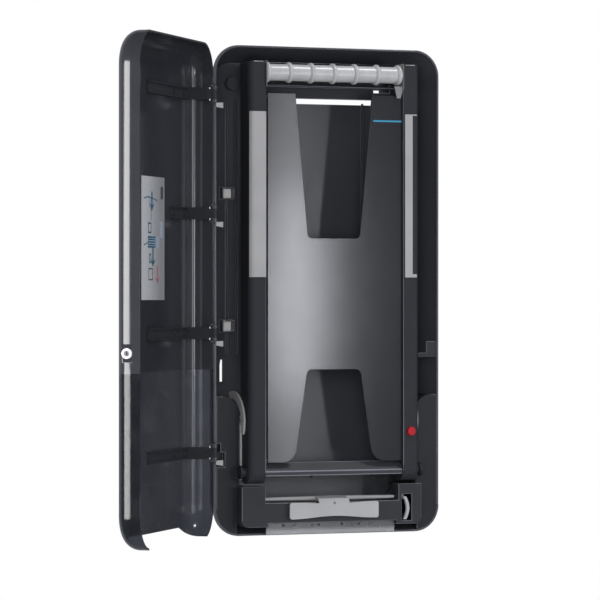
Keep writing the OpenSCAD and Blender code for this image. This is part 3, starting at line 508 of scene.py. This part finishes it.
def moulded_plastic(name, base, roughness, shade=1.0, specular=0.35, grain=0.25, spread=0.015, wave=0.0):
    """Moulded plastic: fine grain, uneven gloss and a slight drift of colour."""
    shader = Shader(name)
    colour = scaled(base, shade)
    shader.colour_between(shader.noise(60), scaled(colour, 0.95), scaled(colour, 1.05))
    shader.rough_between(shader.noise(28, detail=5.0), roughness - spread, roughness + spread)
    normal = None
    if wave:
        normal = shader.bump(shader.noise(30, detail=1.0), wave, 0.6)
    shader.bump(shader.noise(1, detail=2.0), grain, 0.12, normal)
    shader.set(Specular_IOR_Level=specular)
    return shader.material


def smoked_plastic():
    """Dark see-through plastic with a slow wave in its gloss."""
    shader = Shader("smoked_plastic")
    colour = finishes().smoke_colour
    shader.colour_between(shader.noise(80), scaled(colour, 0.9), scaled(colour, 1.1))
    shader.rough_between(shader.noise(40, detail=4.0), 0.1, 0.2)
    shader.bump(shader.noise(25, detail=1.0), 0.08, 0.5)
    shader.set(Transmission_Weight=0.9, IOR=1.42, Specular_IOR_Level=0.3)
    return shader.material


def clear_plastic():
    """Clear plastic that grows paler towards its lower edge."""
    shader = Shader("clear_plastic")
    low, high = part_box("outlet_lip")
    rise = shader.ranged(shader.along(shader.place, (0, 0, 1)), 0.0, 1.0, low.z, high.z)
    shader.colour_between(shader.clouded(rise, 50), finishes().lip_pale, finishes().lip_dark)
    shader.rough_between(shader.noise(25, detail=4.0), 0.14, 0.28)
    shader.bump(shader.noise(4), 0.08, 0.3)
    shader.set(Transmission_Weight=0.3, IOR=1.49)
    return shader.material


def scuffed_grey():
    """Satin grey with fine scuffs round the roller."""
    shader = Shader("roller_grey")
    colour = finishes().roller_colour
    shader.colour_between(shader.noise(20, detail=4.0), scaled(colour, 0.9), scaled(colour, 1.08))
    scuff = shader.noise(3, stretch=(3.0, 1.0, 1.0))
    shader.rough_between(scuff, 0.25, 0.38)
    shader.bump(scuff, 0.12, 0.2)
    shader.set(Specular_IOR_Level=0.5)
    return shader.material


def bright_metal(name, base, roughness, brushed, shade=1.0):
    """Metal with fine drawn lines along the height, or nearly smooth where brushed is small."""
    shader = Shader(name)
    colour = scaled(base, shade)
    shader.colour_between(shader.noise(8), scaled(colour, 0.9), scaled(colour, 1.1))
    lines = shader.noise(0.6, detail=2.0, stretch=(1.0, 1.0, 0.12))
    shader.rough_between(lines, roughness * 0.75, roughness * 1.3)
    shader.bump(lines, brushed, 0.1)
    shader.set(Metallic=1.0)
    return shader.material


def label_stock(sheet, colour):
    """Paper with painted shade that darkens it across towards the hinge, as a curved label is shaded,
    under a faint cloud.
    """
    shader = Shader("label_stock")
    middle = sheet.middle.dot(sheet.across)
    side = shader.along(shader.place, sheet.across)
    # Painted shade: the stock runs from 1.06 to 0.55 of its colour across the label, darker towards the
    # hinge.
    grey = shader.ranged(side, 0.15, 0.75, middle - sheet.half_w, middle + sheet.half_w)
    shader.colour_between(shader.clouded(grey, 40, detail=4.0), scaled(colour, 1.06), scaled(colour, 0.55))
    fibre = shader.noise(1.5, detail=4.0, stretch=(1.0, 1.0, 0.5))
    shader.rough_between(fibre, 0.5, 0.62)
    shader.bump(fibre, 0.1, 0.08)
    shader.set(Specular_IOR_Level=0.25)
    return shader.material


def printed_ink(name, base, shade=1.0):
    """Dull ink with a little mottle."""
    shader = Shader(name)
    colour = scaled(base, shade)
    shader.colour_between(shader.noise(3), scaled(colour, 0.85), scaled(colour, 1.1))
    shader.rough_between(shader.noise(2), 0.4, 0.52)
    shader.set(Specular_IOR_Level=0.25)
    return shader.material


def surface_group(name):
    """A geometry node group by its name, and whether it is new and still empty."""
    if name in bpy.data.node_groups:
        return bpy.data.node_groups[name], False
    group = bpy.data.node_groups.new(name, "GeometryNodeTree")
    for side in ("INPUT", "OUTPUT"):
        group.interface.new_socket("Geometry", in_out=side, socket_type="NodeSocketGeometry")
    return group, True


def chain(sheet, steps):
    """Links a group's input through steps to its output."""
    last = sheet.add("NodeGroupInput").outputs["Geometry"]
    for step in steps:
        sheet.link(last, step.inputs["Geometry"])
        last = step.outputs["Geometry"]
    sheet.link(last, sheet.add("NodeGroupOutput").inputs["Geometry"])


def cleaned_surface():
    """Joins split corners and shades smooth."""
    group, fresh = surface_group("clean_surface")
    if fresh:
        sheet = NodeSheet(group)
        bare = sheet.add("GeometryNodeRemoveAttribute")
        bare.inputs["Name"].default_value = "custom_normal"
        merge = sheet.add("GeometryNodeMergeByDistance")
        merge.inputs["Distance"].default_value = MERGE_GAP
        smooth = sheet.add("GeometryNodeSetShadeSmooth")
        smooth.inputs["Shade Smooth"].default_value = True
        chain(sheet, (bare, merge, smooth))
    return group


def marked_edges():
    """Marks the long sharp edges, which get a rounding, and keeps the short ones crisp."""
    group, fresh = surface_group("mark_long_edges")
    if fresh:
        sheet = NodeSheet(group)
        ends = sheet.add("GeometryNodeInputMeshEdgeVertices")
        length = sheet.add("ShaderNodeVectorMath", operation="DISTANCE")
        sheet.link(ends.outputs["Position 1"], length.inputs[0])
        sheet.link(ends.outputs["Position 2"], length.inputs[1])
        angle = sheet.add("GeometryNodeInputMeshEdgeAngle")
        is_long = sheet.math("GREATER_THAN", length.outputs["Value"], LONG_EDGE)
        is_sharp = sheet.math("GREATER_THAN", angle.outputs["Unsigned Angle"], SHARP_EDGE)
        both = sheet.math("MULTIPLY", is_long, is_sharp)
        mark = sheet.add("GeometryNodeStoreNamedAttribute", data_type="FLOAT", domain="EDGE")
        mark.inputs["Name"].default_value = "bevel_weight_edge"
        sheet.link(both, mark.inputs["Value"])
        crisp = sheet.add("GeometryNodeSetShadeSmooth", domain="EDGE")
        crisp.inputs["Shade Smooth"].default_value = False
        sheet.link(sheet.math("SUBTRACT", is_sharp, both), crisp.inputs["Selection"])
        chain(sheet, (crisp, mark))
    return group


def round_edges(piece, width, slot):
    """Rounds a node's long sharp edges so that they catch the light, in the finish of a material slot,
    which holds a painted edge highlight where dress is given one.
    """
    piece.modifiers.new("clean", "NODES").node_group = cleaned_surface()
    piece.modifiers.new("mark", "NODES").node_group = marked_edges()
    bevel = piece.modifiers.new("edge_rounding", "BEVEL")
    bevel.width = width
    bevel.material = slot
    bevel.segments = ROUNDING_STEPS
    bevel.limit_method = "WEIGHT"
    bevel.use_clamp_overlap = False
    bevel.harden_normals = True
    normals = piece.modifiers.new("face_normals", "WEIGHTED_NORMAL")
    normals.keep_sharp = True
    normals.weight = FACE_WEIGHT


def dress(names, material, rounding=0.0, edge_highlight_paint=None):
    """Gives nodes one finish, and rounds their edges by a multiple of the edge rounding, in a lighter edge
    material where one is given, which is a painted highlight.
    """
    for name in names:
        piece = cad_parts[name]
        piece.data.materials.clear()
        piece.data.materials.append(material)
        if edge_highlight_paint is not None:
            piece.data.materials.append(edge_highlight_paint)
        if rounding:
            round_edges(piece, rounding * finishes().edge_round, len(piece.data.materials) - 1)


class DISPENSER_OT_housing(bpy.types.Operator):
    """Finish the wall tray and the black pieces inside it, with painted shade on the inner pieces and
    pivot blocks and a painted highlight on the rounded edges
    """

    bl_idname = "dispenser.finish_housing"
    bl_label = "Finish Housing"

    def execute(self, context):
        colour = finishes().housing_colour
        # Painted highlight: the edge finish is the housing black made 2.2 times lighter and laid on the
        # rounded edges.
        lines = moulded_plastic("housing_edge_painted_highlight", colour, shade=2.2, roughness=0.3, specular=0.5)
        tray = moulded_plastic("black_housing", colour, roughness=0.32, specular=0.53)
        # Painted shade: the inner pieces and the pivot blocks take darker copies of the housing black,
        # 0.65 and 0.4 times, so they stay as dark as the tray where the lamps reach them.
        inner = moulded_plastic("black_inner", colour, shade=0.65, roughness=0.55, specular=0.2)
        block = moulded_plastic("black_block_painted_shade", colour, shade=0.4, roughness=0.5, specular=0.2)
        for names, finish in ((("rear_housing",), tray), (INNER_NODES, inner), (BLOCK_NODES, block)):
            dress(names, finish, rounding=1.5, edge_highlight_paint=lines)
        return {"FINISHED"}


class DISPENSER_OT_cover(bpy.types.Operator):
    """Finish the glossy cover, its arms and its smoked window"""

    bl_idname = "dispenser.finish_cover"
    bl_label = "Finish Cover"

    def execute(self, context):
        colour = finishes().cover_colour
        gloss = moulded_plastic("black_cover", colour, roughness=0.15, specular=0.5, grain=0.05, wave=0.03)
        dress(("cover_shell",), gloss, rounding=1.0)
        satin = moulded_plastic("satin_arms", colour, roughness=0.5, specular=0.2)
        dress(ARM_NODES, satin, rounding=0.25)
        dress(("cover_window",), smoked_plastic())
        return {"FINISHED"}


class DISPENSER_OT_carriage(bpy.types.Operator):
    """Finish the rails, bars and dark panel of the tilting carriage, with a painted highlight on the
    rounded edges and painted sheen on the crossbar
    """

    bl_idname = "dispenser.finish_carriage"
    bl_label = "Finish Carriage"

    def execute(self, context):
        colour = finishes().carriage_colour
        # Painted highlight: the edge finish is the carriage black made seven times lighter and laid on the
        # rounded edges.
        lines = moulded_plastic("painted_edge_highlight", colour, shade=7.0, roughness=0.35, specular=0.5)
        rails = moulded_plastic("black_carriage", colour, roughness=0.6, specular=0.2)
        dress(CARRIAGE_NODES, rails, rounding=2.0, edge_highlight_paint=lines)
        # Painted sheen: the crossbar takes the carriage black made 1.5 times lighter, for the gloss that
        # brightens its sloped face.
        bar = moulded_plastic("bar_painted_sheen", colour, shade=1.5, roughness=0.42, specular=0.18)
        dress(("lower_crossbar",), bar, rounding=2.0, edge_highlight_paint=lines)
        panel = moulded_plastic(
            "grey_panel",
            finishes().panel_colour,
            roughness=0.145,
            specular=0.45,
            grain=0.08,
            spread=0.006,
        )
        dress(("front_panel",), panel, rounding=0.7)
        return {"FINISHED"}


class DISPENSER_OT_trim(bpy.types.Operator):
    """Finish the light strips, clips, catches, plugs, brackets, tongue and roller"""

    bl_idname = "dispenser.finish_trim"
    bl_label = "Finish Light Trim"

    def execute(self, context):
        light = finishes().strip_colour
        strip = moulded_plastic("light_strip", light, roughness=0.45, grain=0.15)
        dress(STRIP_NODES, strip, rounding=0.5)
        # Painted light: the plugs take the strip grey made 2.2 times lighter, which lifts them out of the
        # shade of their recesses.
        plug = moulded_plastic("plug_painted_light", light, shade=2.2, roughness=0.45)
        dress(("hole_plugs",), plug, rounding=0.5)
        bracket = moulded_plastic("bracket_grey", light, shade=0.6, roughness=0.45)
        dress(BRACKET_NODES, bracket, rounding=0.3)
        roller = finishes().roller_colour
        tongue = moulded_plastic("tongue_grey", roller, shade=0.83, roughness=0.45, specular=0.3)
        dress(TONGUE_NODES, tongue, rounding=0.5)
        dress(("top_roller",), scuffed_grey())
        return {"FINISHED"}


class DISPENSER_OT_outlet_lip(bpy.types.Operator):
    """Finish the clear lip under the outlet"""

    bl_idname = "dispenser.finish_outlet_lip"
    bl_label = "Finish Outlet Lip"

    def execute(self, context):
        dress(("outlet_lip",), clear_plastic(), rounding=0.5)
        return {"FINISHED"}


class DISPENSER_OT_metal(bpy.types.Operator):
    """Finish the pins, axles, screws, spring and lock"""

    bl_idname = "dispenser.finish_metal"
    bl_label = "Finish Metal"

    def execute(self, context):
        colour = finishes().steel_colour
        dress(STEEL_NODES, bright_metal("bright_steel", colour, roughness=0.28, brushed=0.12))
        pin = bright_metal("dark_steel", colour, shade=0.35, roughness=0.4, brushed=0.12)
        dress(("hinge_pins",), pin)
        plating = bright_metal("lock_plating", colour, roughness=0.35, brushed=0.03)
        dress(LOCK_NODES, plating, rounding=0.6)
        core = bright_metal("lock_core", colour, shade=0.4, roughness=0.3, brushed=0.05)
        dress(("lock_plug",), core)
        return {"FINISHED"}


class DISPENSER_OT_signals(bpy.types.Operator):
    """Finish the red release button and the blue fill mark"""

    bl_idname = "dispenser.finish_signals"
    bl_label = "Finish Button and Mark"

    def execute(self, context):
        colour = finishes().button_colour
        red = moulded_plastic("red_button", colour, roughness=0.3, specular=0.15, grain=0.05)
        dress(("release_button",), red, rounding=0.6)
        dress(("fill_mark",), printed_ink("blue_mark", finishes().mark_colour))
        return {"FINISHED"}


class LabelSheet:
    """The label's face at rest: its middle, its half sizes and its directions across, up and out."""

    def __init__(self):
        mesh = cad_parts["instruction_label"].data
        # The face that looks into the open cover, and so to the right
        face = max(mesh.polygons, key=lambda p: p.area * (p.normal.x > 0))
        self.out = face.normal.normalized()
        self.up = Vector((0, 0, 1))
        self.across = self.up.cross(self.out)
        points = [v.co for v in mesh.vertices]
        spans = [[p.dot(axis) for p in points] for axis in (self.across, self.up, self.out)]
        middle = [(min(s) + max(s)) / 2 for s in spans]
        self.half_w, self.half_h = [(max(s) - min(s)) / 2 for s in spans[:2]]
        self.middle = self.across * middle[0] + self.up * middle[1] + self.out * max(spans[2])

    def point(self, u, v, lift):
        return self.middle + self.across * u + self.up * v + self.out * lift


class LinePrint:
    """Gathers printed strokes and patches into one thin mesh.

    Places are shares of the label's half sizes inside its margin.
    """

    def __init__(self, sheet, sizes, lift=1.0):
        self.sheet = sheet
        self.width = sizes.line_width
        self.lift = lift * sizes.print_lift
        self.reach = (sheet.half_w - sizes.margin, sheet.half_h - sizes.margin)
        self.bm = bmesh.new()

    def spot(self, u, v):
        return Vector((u * self.reach[0], v * self.reach[1]))

    def slab(self, corners):
        """A thin plate of print with these corners, in metres from the label's middle."""
        low = [self.bm.verts.new(self.sheet.point(u, v, -PRINT_SINK)) for u, v in corners]
        top = [self.bm.verts.new(self.sheet.point(u, v, self.lift)) for u, v in corners]
        self.bm.faces.new(top)
        self.bm.faces.new(low[::-1])
        for i in range(len(corners)):
            j = (i + 1) % len(corners)
            self.bm.faces.new((low[i], low[j], top[j], top[i]))

    def patch(self, u0, v0, u1, v1):
        self.slab([self.spot(u0, v0), self.spot(u1, v0), self.spot(u1, v1), self.spot(u0, v1)])

    def line(self, *places, weight=1.0):
        spots = [self.spot(u, v) for u, v in places]
        for start, end in zip(spots, spots[1:]):
            along = (end - start).normalized() * weight * self.width / 2
            side = Vector((-along.y, along.x))
            a, b = start - along, end + along
            self.slab([a - side, b - side, b + side, a + side])

    def box(self, u0, v0, u1, v1, weight=1.0):
        self.line((u0, v0), (u1, v0), (u1, v1), (u0, v1), (u0, v0), weight=weight)

    def arrow(self, u, v, length, weight):
        """An arrow that points down from a place, with an open head."""
        tip = v - length
        self.line((u, v), (u, tip), weight=weight)
        brow = tip + HEAD_RISE
        self.line((u - HEAD_HALF, brow), (u, tip), (u + HEAD_HALF, brow), weight=HEAD_WEIGHT * weight)

    def piece(self, name, material, slot):
        """Makes the piece of all that was printed, which rides on the cover."""
        bmesh.ops.recalc_face_normals(self.bm, faces=self.bm.faces)
        mesh = bpy.data.meshes.new(name)
        self.bm.to_mesh(mesh)
        self.bm.free()
        mesh.materials.append(material)
        piece = bpy.data.objects.new(name, mesh)
        bpy.context.scene.collection.objects.link(piece)
        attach(piece, "cover")


class DISPENSER_OT_label(bpy.types.Operator):
    """Finish the label and print its plain drawings: load, fold and pull"""

    bl_idname = "dispenser.print_label"
    bl_label = "Print Label"

    def execute(self, context):
        label = context.scene.dispenser_label
        sheet = LabelSheet()
        dress(("instruction_label",), label_stock(sheet, label.stock_colour))
        tint = LinePrint(sheet, label, lift=0.5)
        tint.patch(-0.4, 0.52, 0.15, 0.69)
        tint.patch(-0.5, -0.17, 0.6, 0.04)
        tint.patch(0.64, 0.02, 0.95, 0.3)
        tint.piece("label_tints", printed_ink("label_tint", label.tint_ink), "label")
        blue = LinePrint(sheet, label)
        self.draw_load(blue)
        self.draw_fold(blue)
        self.draw_pull(blue)
        blue_ink = printed_ink("label_blue", finishes().mark_colour, shade=0.35)
        blue.piece("label_lines", blue_ink, "blue_mark")
        dark = LinePrint(sheet, label)
        dark.patch(0.73, 0.69, 0.98, 0.91)
        dark.line((-0.2, 0.5), (-0.2, 0.31), weight=1.5)
        dark.box(-0.42, -0.72, -0.05, -0.53, weight=1.5)
        dark.piece("label_dark_lines", printed_ink("label_black", label.dark_ink), "black_inner")
        red = LinePrint(sheet, label)
        red.arrow(0.42, -0.5, length=0.25, weight=4)
        red.piece("label_red_arrow", printed_ink("label_red", label.red_ink), "red_plastic")
        return {"FINISHED"}

    @staticmethod
    def draw_load(art):
        """A stack let down into the open dispenser."""
        art.line((-0.88, 0.69), (-0.5, 0.715), (-0.07, 0.7), (0.37, 0.66), weight=1.4)
        art.arrow(-0.12, 0.78, length=0.26, weight=5)
        art.box(-0.45, 0.1, -0.2, 0.26, weight=2)

    @staticmethod
    def draw_fold(art):
        """The folded web, in a box with its folds."""
        art.line((-0.88, -0.12), (-0.5, -0.08), weight=1.4)
        art.box(-0.48, -0.15, 0.2, 0.02, weight=2)
        for level in (-0.11, -0.065, -0.02):
            art.line((-0.4, level), (0.12, level), weight=2)

    @staticmethod
    def draw_pull(art):
        """The web pulled down out of the dispenser."""
        art.box(-0.36, -0.42, -0.22, -0.28, weight=2)
        art.arrow(-0.02, -0.19, length=0.26, weight=5)


class DISPENSER_OT_stage(bpy.types.Operator):
    """Set the white room, lamps, pale floor and camera"""

    bl_idname = "dispenser.build_stage"
    bl_label = "Build Stage"

    def execute(self, context):
        stage = context.scene.dispenser_stage
        self.world(context.scene, stage)
        tall = self.lamp("key_tall", KEY_TALL_SHARE * stage.key_power)
        short = self.lamp("key_short", (1 - KEY_TALL_SHARE) * stage.key_power)
        for key in (tall, short):
            key.data.shape = "ELLIPSE"
            key.data.color = KEY_TINT
        self.lamp("cover_soft", stage.cover_power)
        self.lamp("side_soft", stage.side_power)
        self.lamp("front_soft", stage.front_power).visible_glossy = False
        self.lamp("top_spot", stage.top_power)
        self.floor(stage)
        self.camera(context.scene, stage)
        context.scene.view_settings.view_transform = "Standard"
        return {"FINISHED"}

    @staticmethod
    def world(scene, stage):
        """White to the eye, a dim room with a window to gloss, and even fill to the rest."""
        world = bpy.data.worlds.new("white_room")
        scene.world = world
        world.use_nodes = True
        world.node_tree.nodes.clear()
        sheet = NodeSheet(world.node_tree)
        around = sheet.add("ShaderNodeTexCoord").outputs["Generated"]
        depth = sheet.along(around, (0, 1, 0))
        wall = sheet.ranged(depth, stage.front_level, stage.behind_level, *WALL_FADE, "SMOOTHSTEP")
        window = sheet.along(around, (math.cos(stage.window_turn), math.sin(stage.window_turn), 0))
        window_edge = (math.cos(WINDOW_REACH), math.cos(WINDOW_CORE))
        glow = sheet.ranged(window, 0.0, stage.window_level, *window_edge, "SMOOTHSTEP")
        seen, gloss, fill = [sheet.add("ShaderNodeBackground") for _ in range(3)]
        for light, tint in ((seen, WHITE), (gloss, ROOM_TINT), (fill, ROOM_TINT)):
            light.inputs["Color"].default_value = tint
        sheet.link(sheet.math("ADD", wall, glow), gloss.inputs["Strength"])
        fill.inputs["Strength"].default_value = stage.fill_level
        path = sheet.add("ShaderNodeLightPath").outputs
        soft = sheet.mixed(path["Is Glossy Ray"], fill, gloss)
        eye = sheet.math("MAXIMUM", path["Is Camera Ray"], path["Is Transmission Ray"])
        room = sheet.mixed(eye, soft, seen)
        sheet.link(room.outputs["Shader"], sheet.add("ShaderNodeOutputWorld").inputs["Surface"])

    @staticmethod
    def lamp(name, power):
        """Hangs up one of the lamps, turned to the object."""
        data = bpy.data.lights.new(name, "AREA")
        data.shape = "RECTANGLE"
        data.size, data.size_y = LAMPS[name]["size"]
        data.energy = power
        lamp = bpy.data.objects.new(name, data)
        lamp.location = LAMPS[name]["place"]
        lamp.rotation_euler = (LAMP_AIM - lamp.location).to_track_quat("-Z", "Y").to_euler()
        lamp.visible_camera = False
        bpy.context.scene.collection.objects.link(lamp)
        return lamp

    @staticmethod
    def floor(stage):
        """A pale round floor under the object that fades into the white room."""
        middle = (cad_low + cad_high) / 2
        bm = bmesh.new()
        bmesh.ops.create_circle(bm, cap_ends=True, radius=stage.floor_radius, segments=FLOOR_SIDES)
        mesh = bpy.data.meshes.new("floor")
        bm.to_mesh(mesh)
        bm.free()
        floor = bpy.data.objects.new("floor", mesh)
        floor.location = (middle.x, middle.y, cad_low.z - stage.floor_drop)
        bpy.context.scene.collection.objects.link(floor)
        shader = Shader("pale_floor", FLOOR_CLOUD)
        shader.set(Roughness=0.9, Specular_IOR_Level=0.1)
        shader.colour_between(shader.noise(1), *FLOOR_SHADES)
        length = shader.add("ShaderNodeVectorMath", operation="LENGTH")
        shader.link(shader.place, length.inputs[0])
        start, end = [share * stage.floor_radius for share in FLOOR_FADE]
        fade = shader.ranged(length.outputs["Value"], 0.0, 1.0, start, end)
        mix = shader.mixed(fade, shader.bsdf, shader.add("ShaderNodeEmission"))
        shader.link(mix.outputs["Shader"], shader.tree.nodes["Material Output"].inputs["Surface"])
        mesh.materials.append(shader.material)
        floor.visible_glossy = False

    @staticmethod
    def camera(scene, stage):
        """A level camera that looks at the housing from its left."""
        data = bpy.data.cameras.new("photo_view")
        data.sensor_width = SENSOR_WIDTH
        data.lens = stage.focal_px * SENSOR_WIDTH / IMAGE_PX
        camera = bpy.data.objects.new("photo_view", data)
        turn = stage.camera_turn
        ahead = Vector((math.sin(turn), math.cos(turn), 0))
        right = Vector((math.cos(turn), -math.sin(turn), 0))
        aim = Vector((0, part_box("rear_housing")[0].y, stage.camera_height))
        camera.location = aim - right * stage.camera_aside - ahead * stage.camera_distance
        camera.rotation_euler = (math.pi / 2, 0, -turn)
        scene.collection.objects.link(camera)
        scene.camera = camera


class DISPENSER_PT_looks(bpy.types.Panel):
    """Lists the finishing steps and their settings"""

    bl_idname = "DISPENSER_PT_looks"
    bl_label = "Dispenser Looks"
    bl_space_type = "VIEW_3D"
    bl_region_type = "UI"
    bl_category = "Dispenser"

    def draw(self, context):
        for step in STEPS:
            self.layout.operator(step.bl_idname)
        for group in ("dispenser_finishes", "dispenser_label", "dispenser_stage"):
            settings = getattr(context.scene, group)
            for name in settings.__annotations__:
                self.layout.prop(settings, name)


STEPS = (
    DISPENSER_OT_housing,
    DISPENSER_OT_cover,
    DISPENSER_OT_carriage,
    DISPENSER_OT_trim,
    DISPENSER_OT_outlet_lip,
    DISPENSER_OT_metal,
    DISPENSER_OT_signals,
    DISPENSER_OT_label,
    DISPENSER_OT_stage,
)
SETTINGS = (DispenserFinishes, DispenserLabel, DispenserStage)
CLASSES = (*SETTINGS, *STEPS, DISPENSER_PT_looks)


def register():
    for cls in CLASSES:
        bpy.utils.register_class(cls)
    bpy.types.Scene.dispenser_finishes = bpy.props.PointerProperty(type=DispenserFinishes)
    bpy.types.Scene.dispenser_label = bpy.props.PointerProperty(type=DispenserLabel)
    bpy.types.Scene.dispenser_stage = bpy.props.PointerProperty(type=DispenserStage)


def unregister():
    del bpy.types.Scene.dispenser_stage
    del bpy.types.Scene.dispenser_label
    del bpy.types.Scene.dispenser_finishes
    for cls in reversed(CLASSES):
        bpy.utils.unregister_class(cls)


def main():
    register()
    bpy.ops.dispenser.finish_housing()
    bpy.ops.dispenser.finish_cover()
    bpy.ops.dispenser.finish_carriage()
    bpy.ops.dispenser.finish_trim()
    bpy.ops.dispenser.finish_outlet_lip()
    bpy.ops.dispenser.finish_metal()
    bpy.ops.dispenser.finish_signals()
    bpy.ops.dispenser.print_label()
    bpy.ops.dispenser.build_stage()


if __name__ == "__main__":
    main()
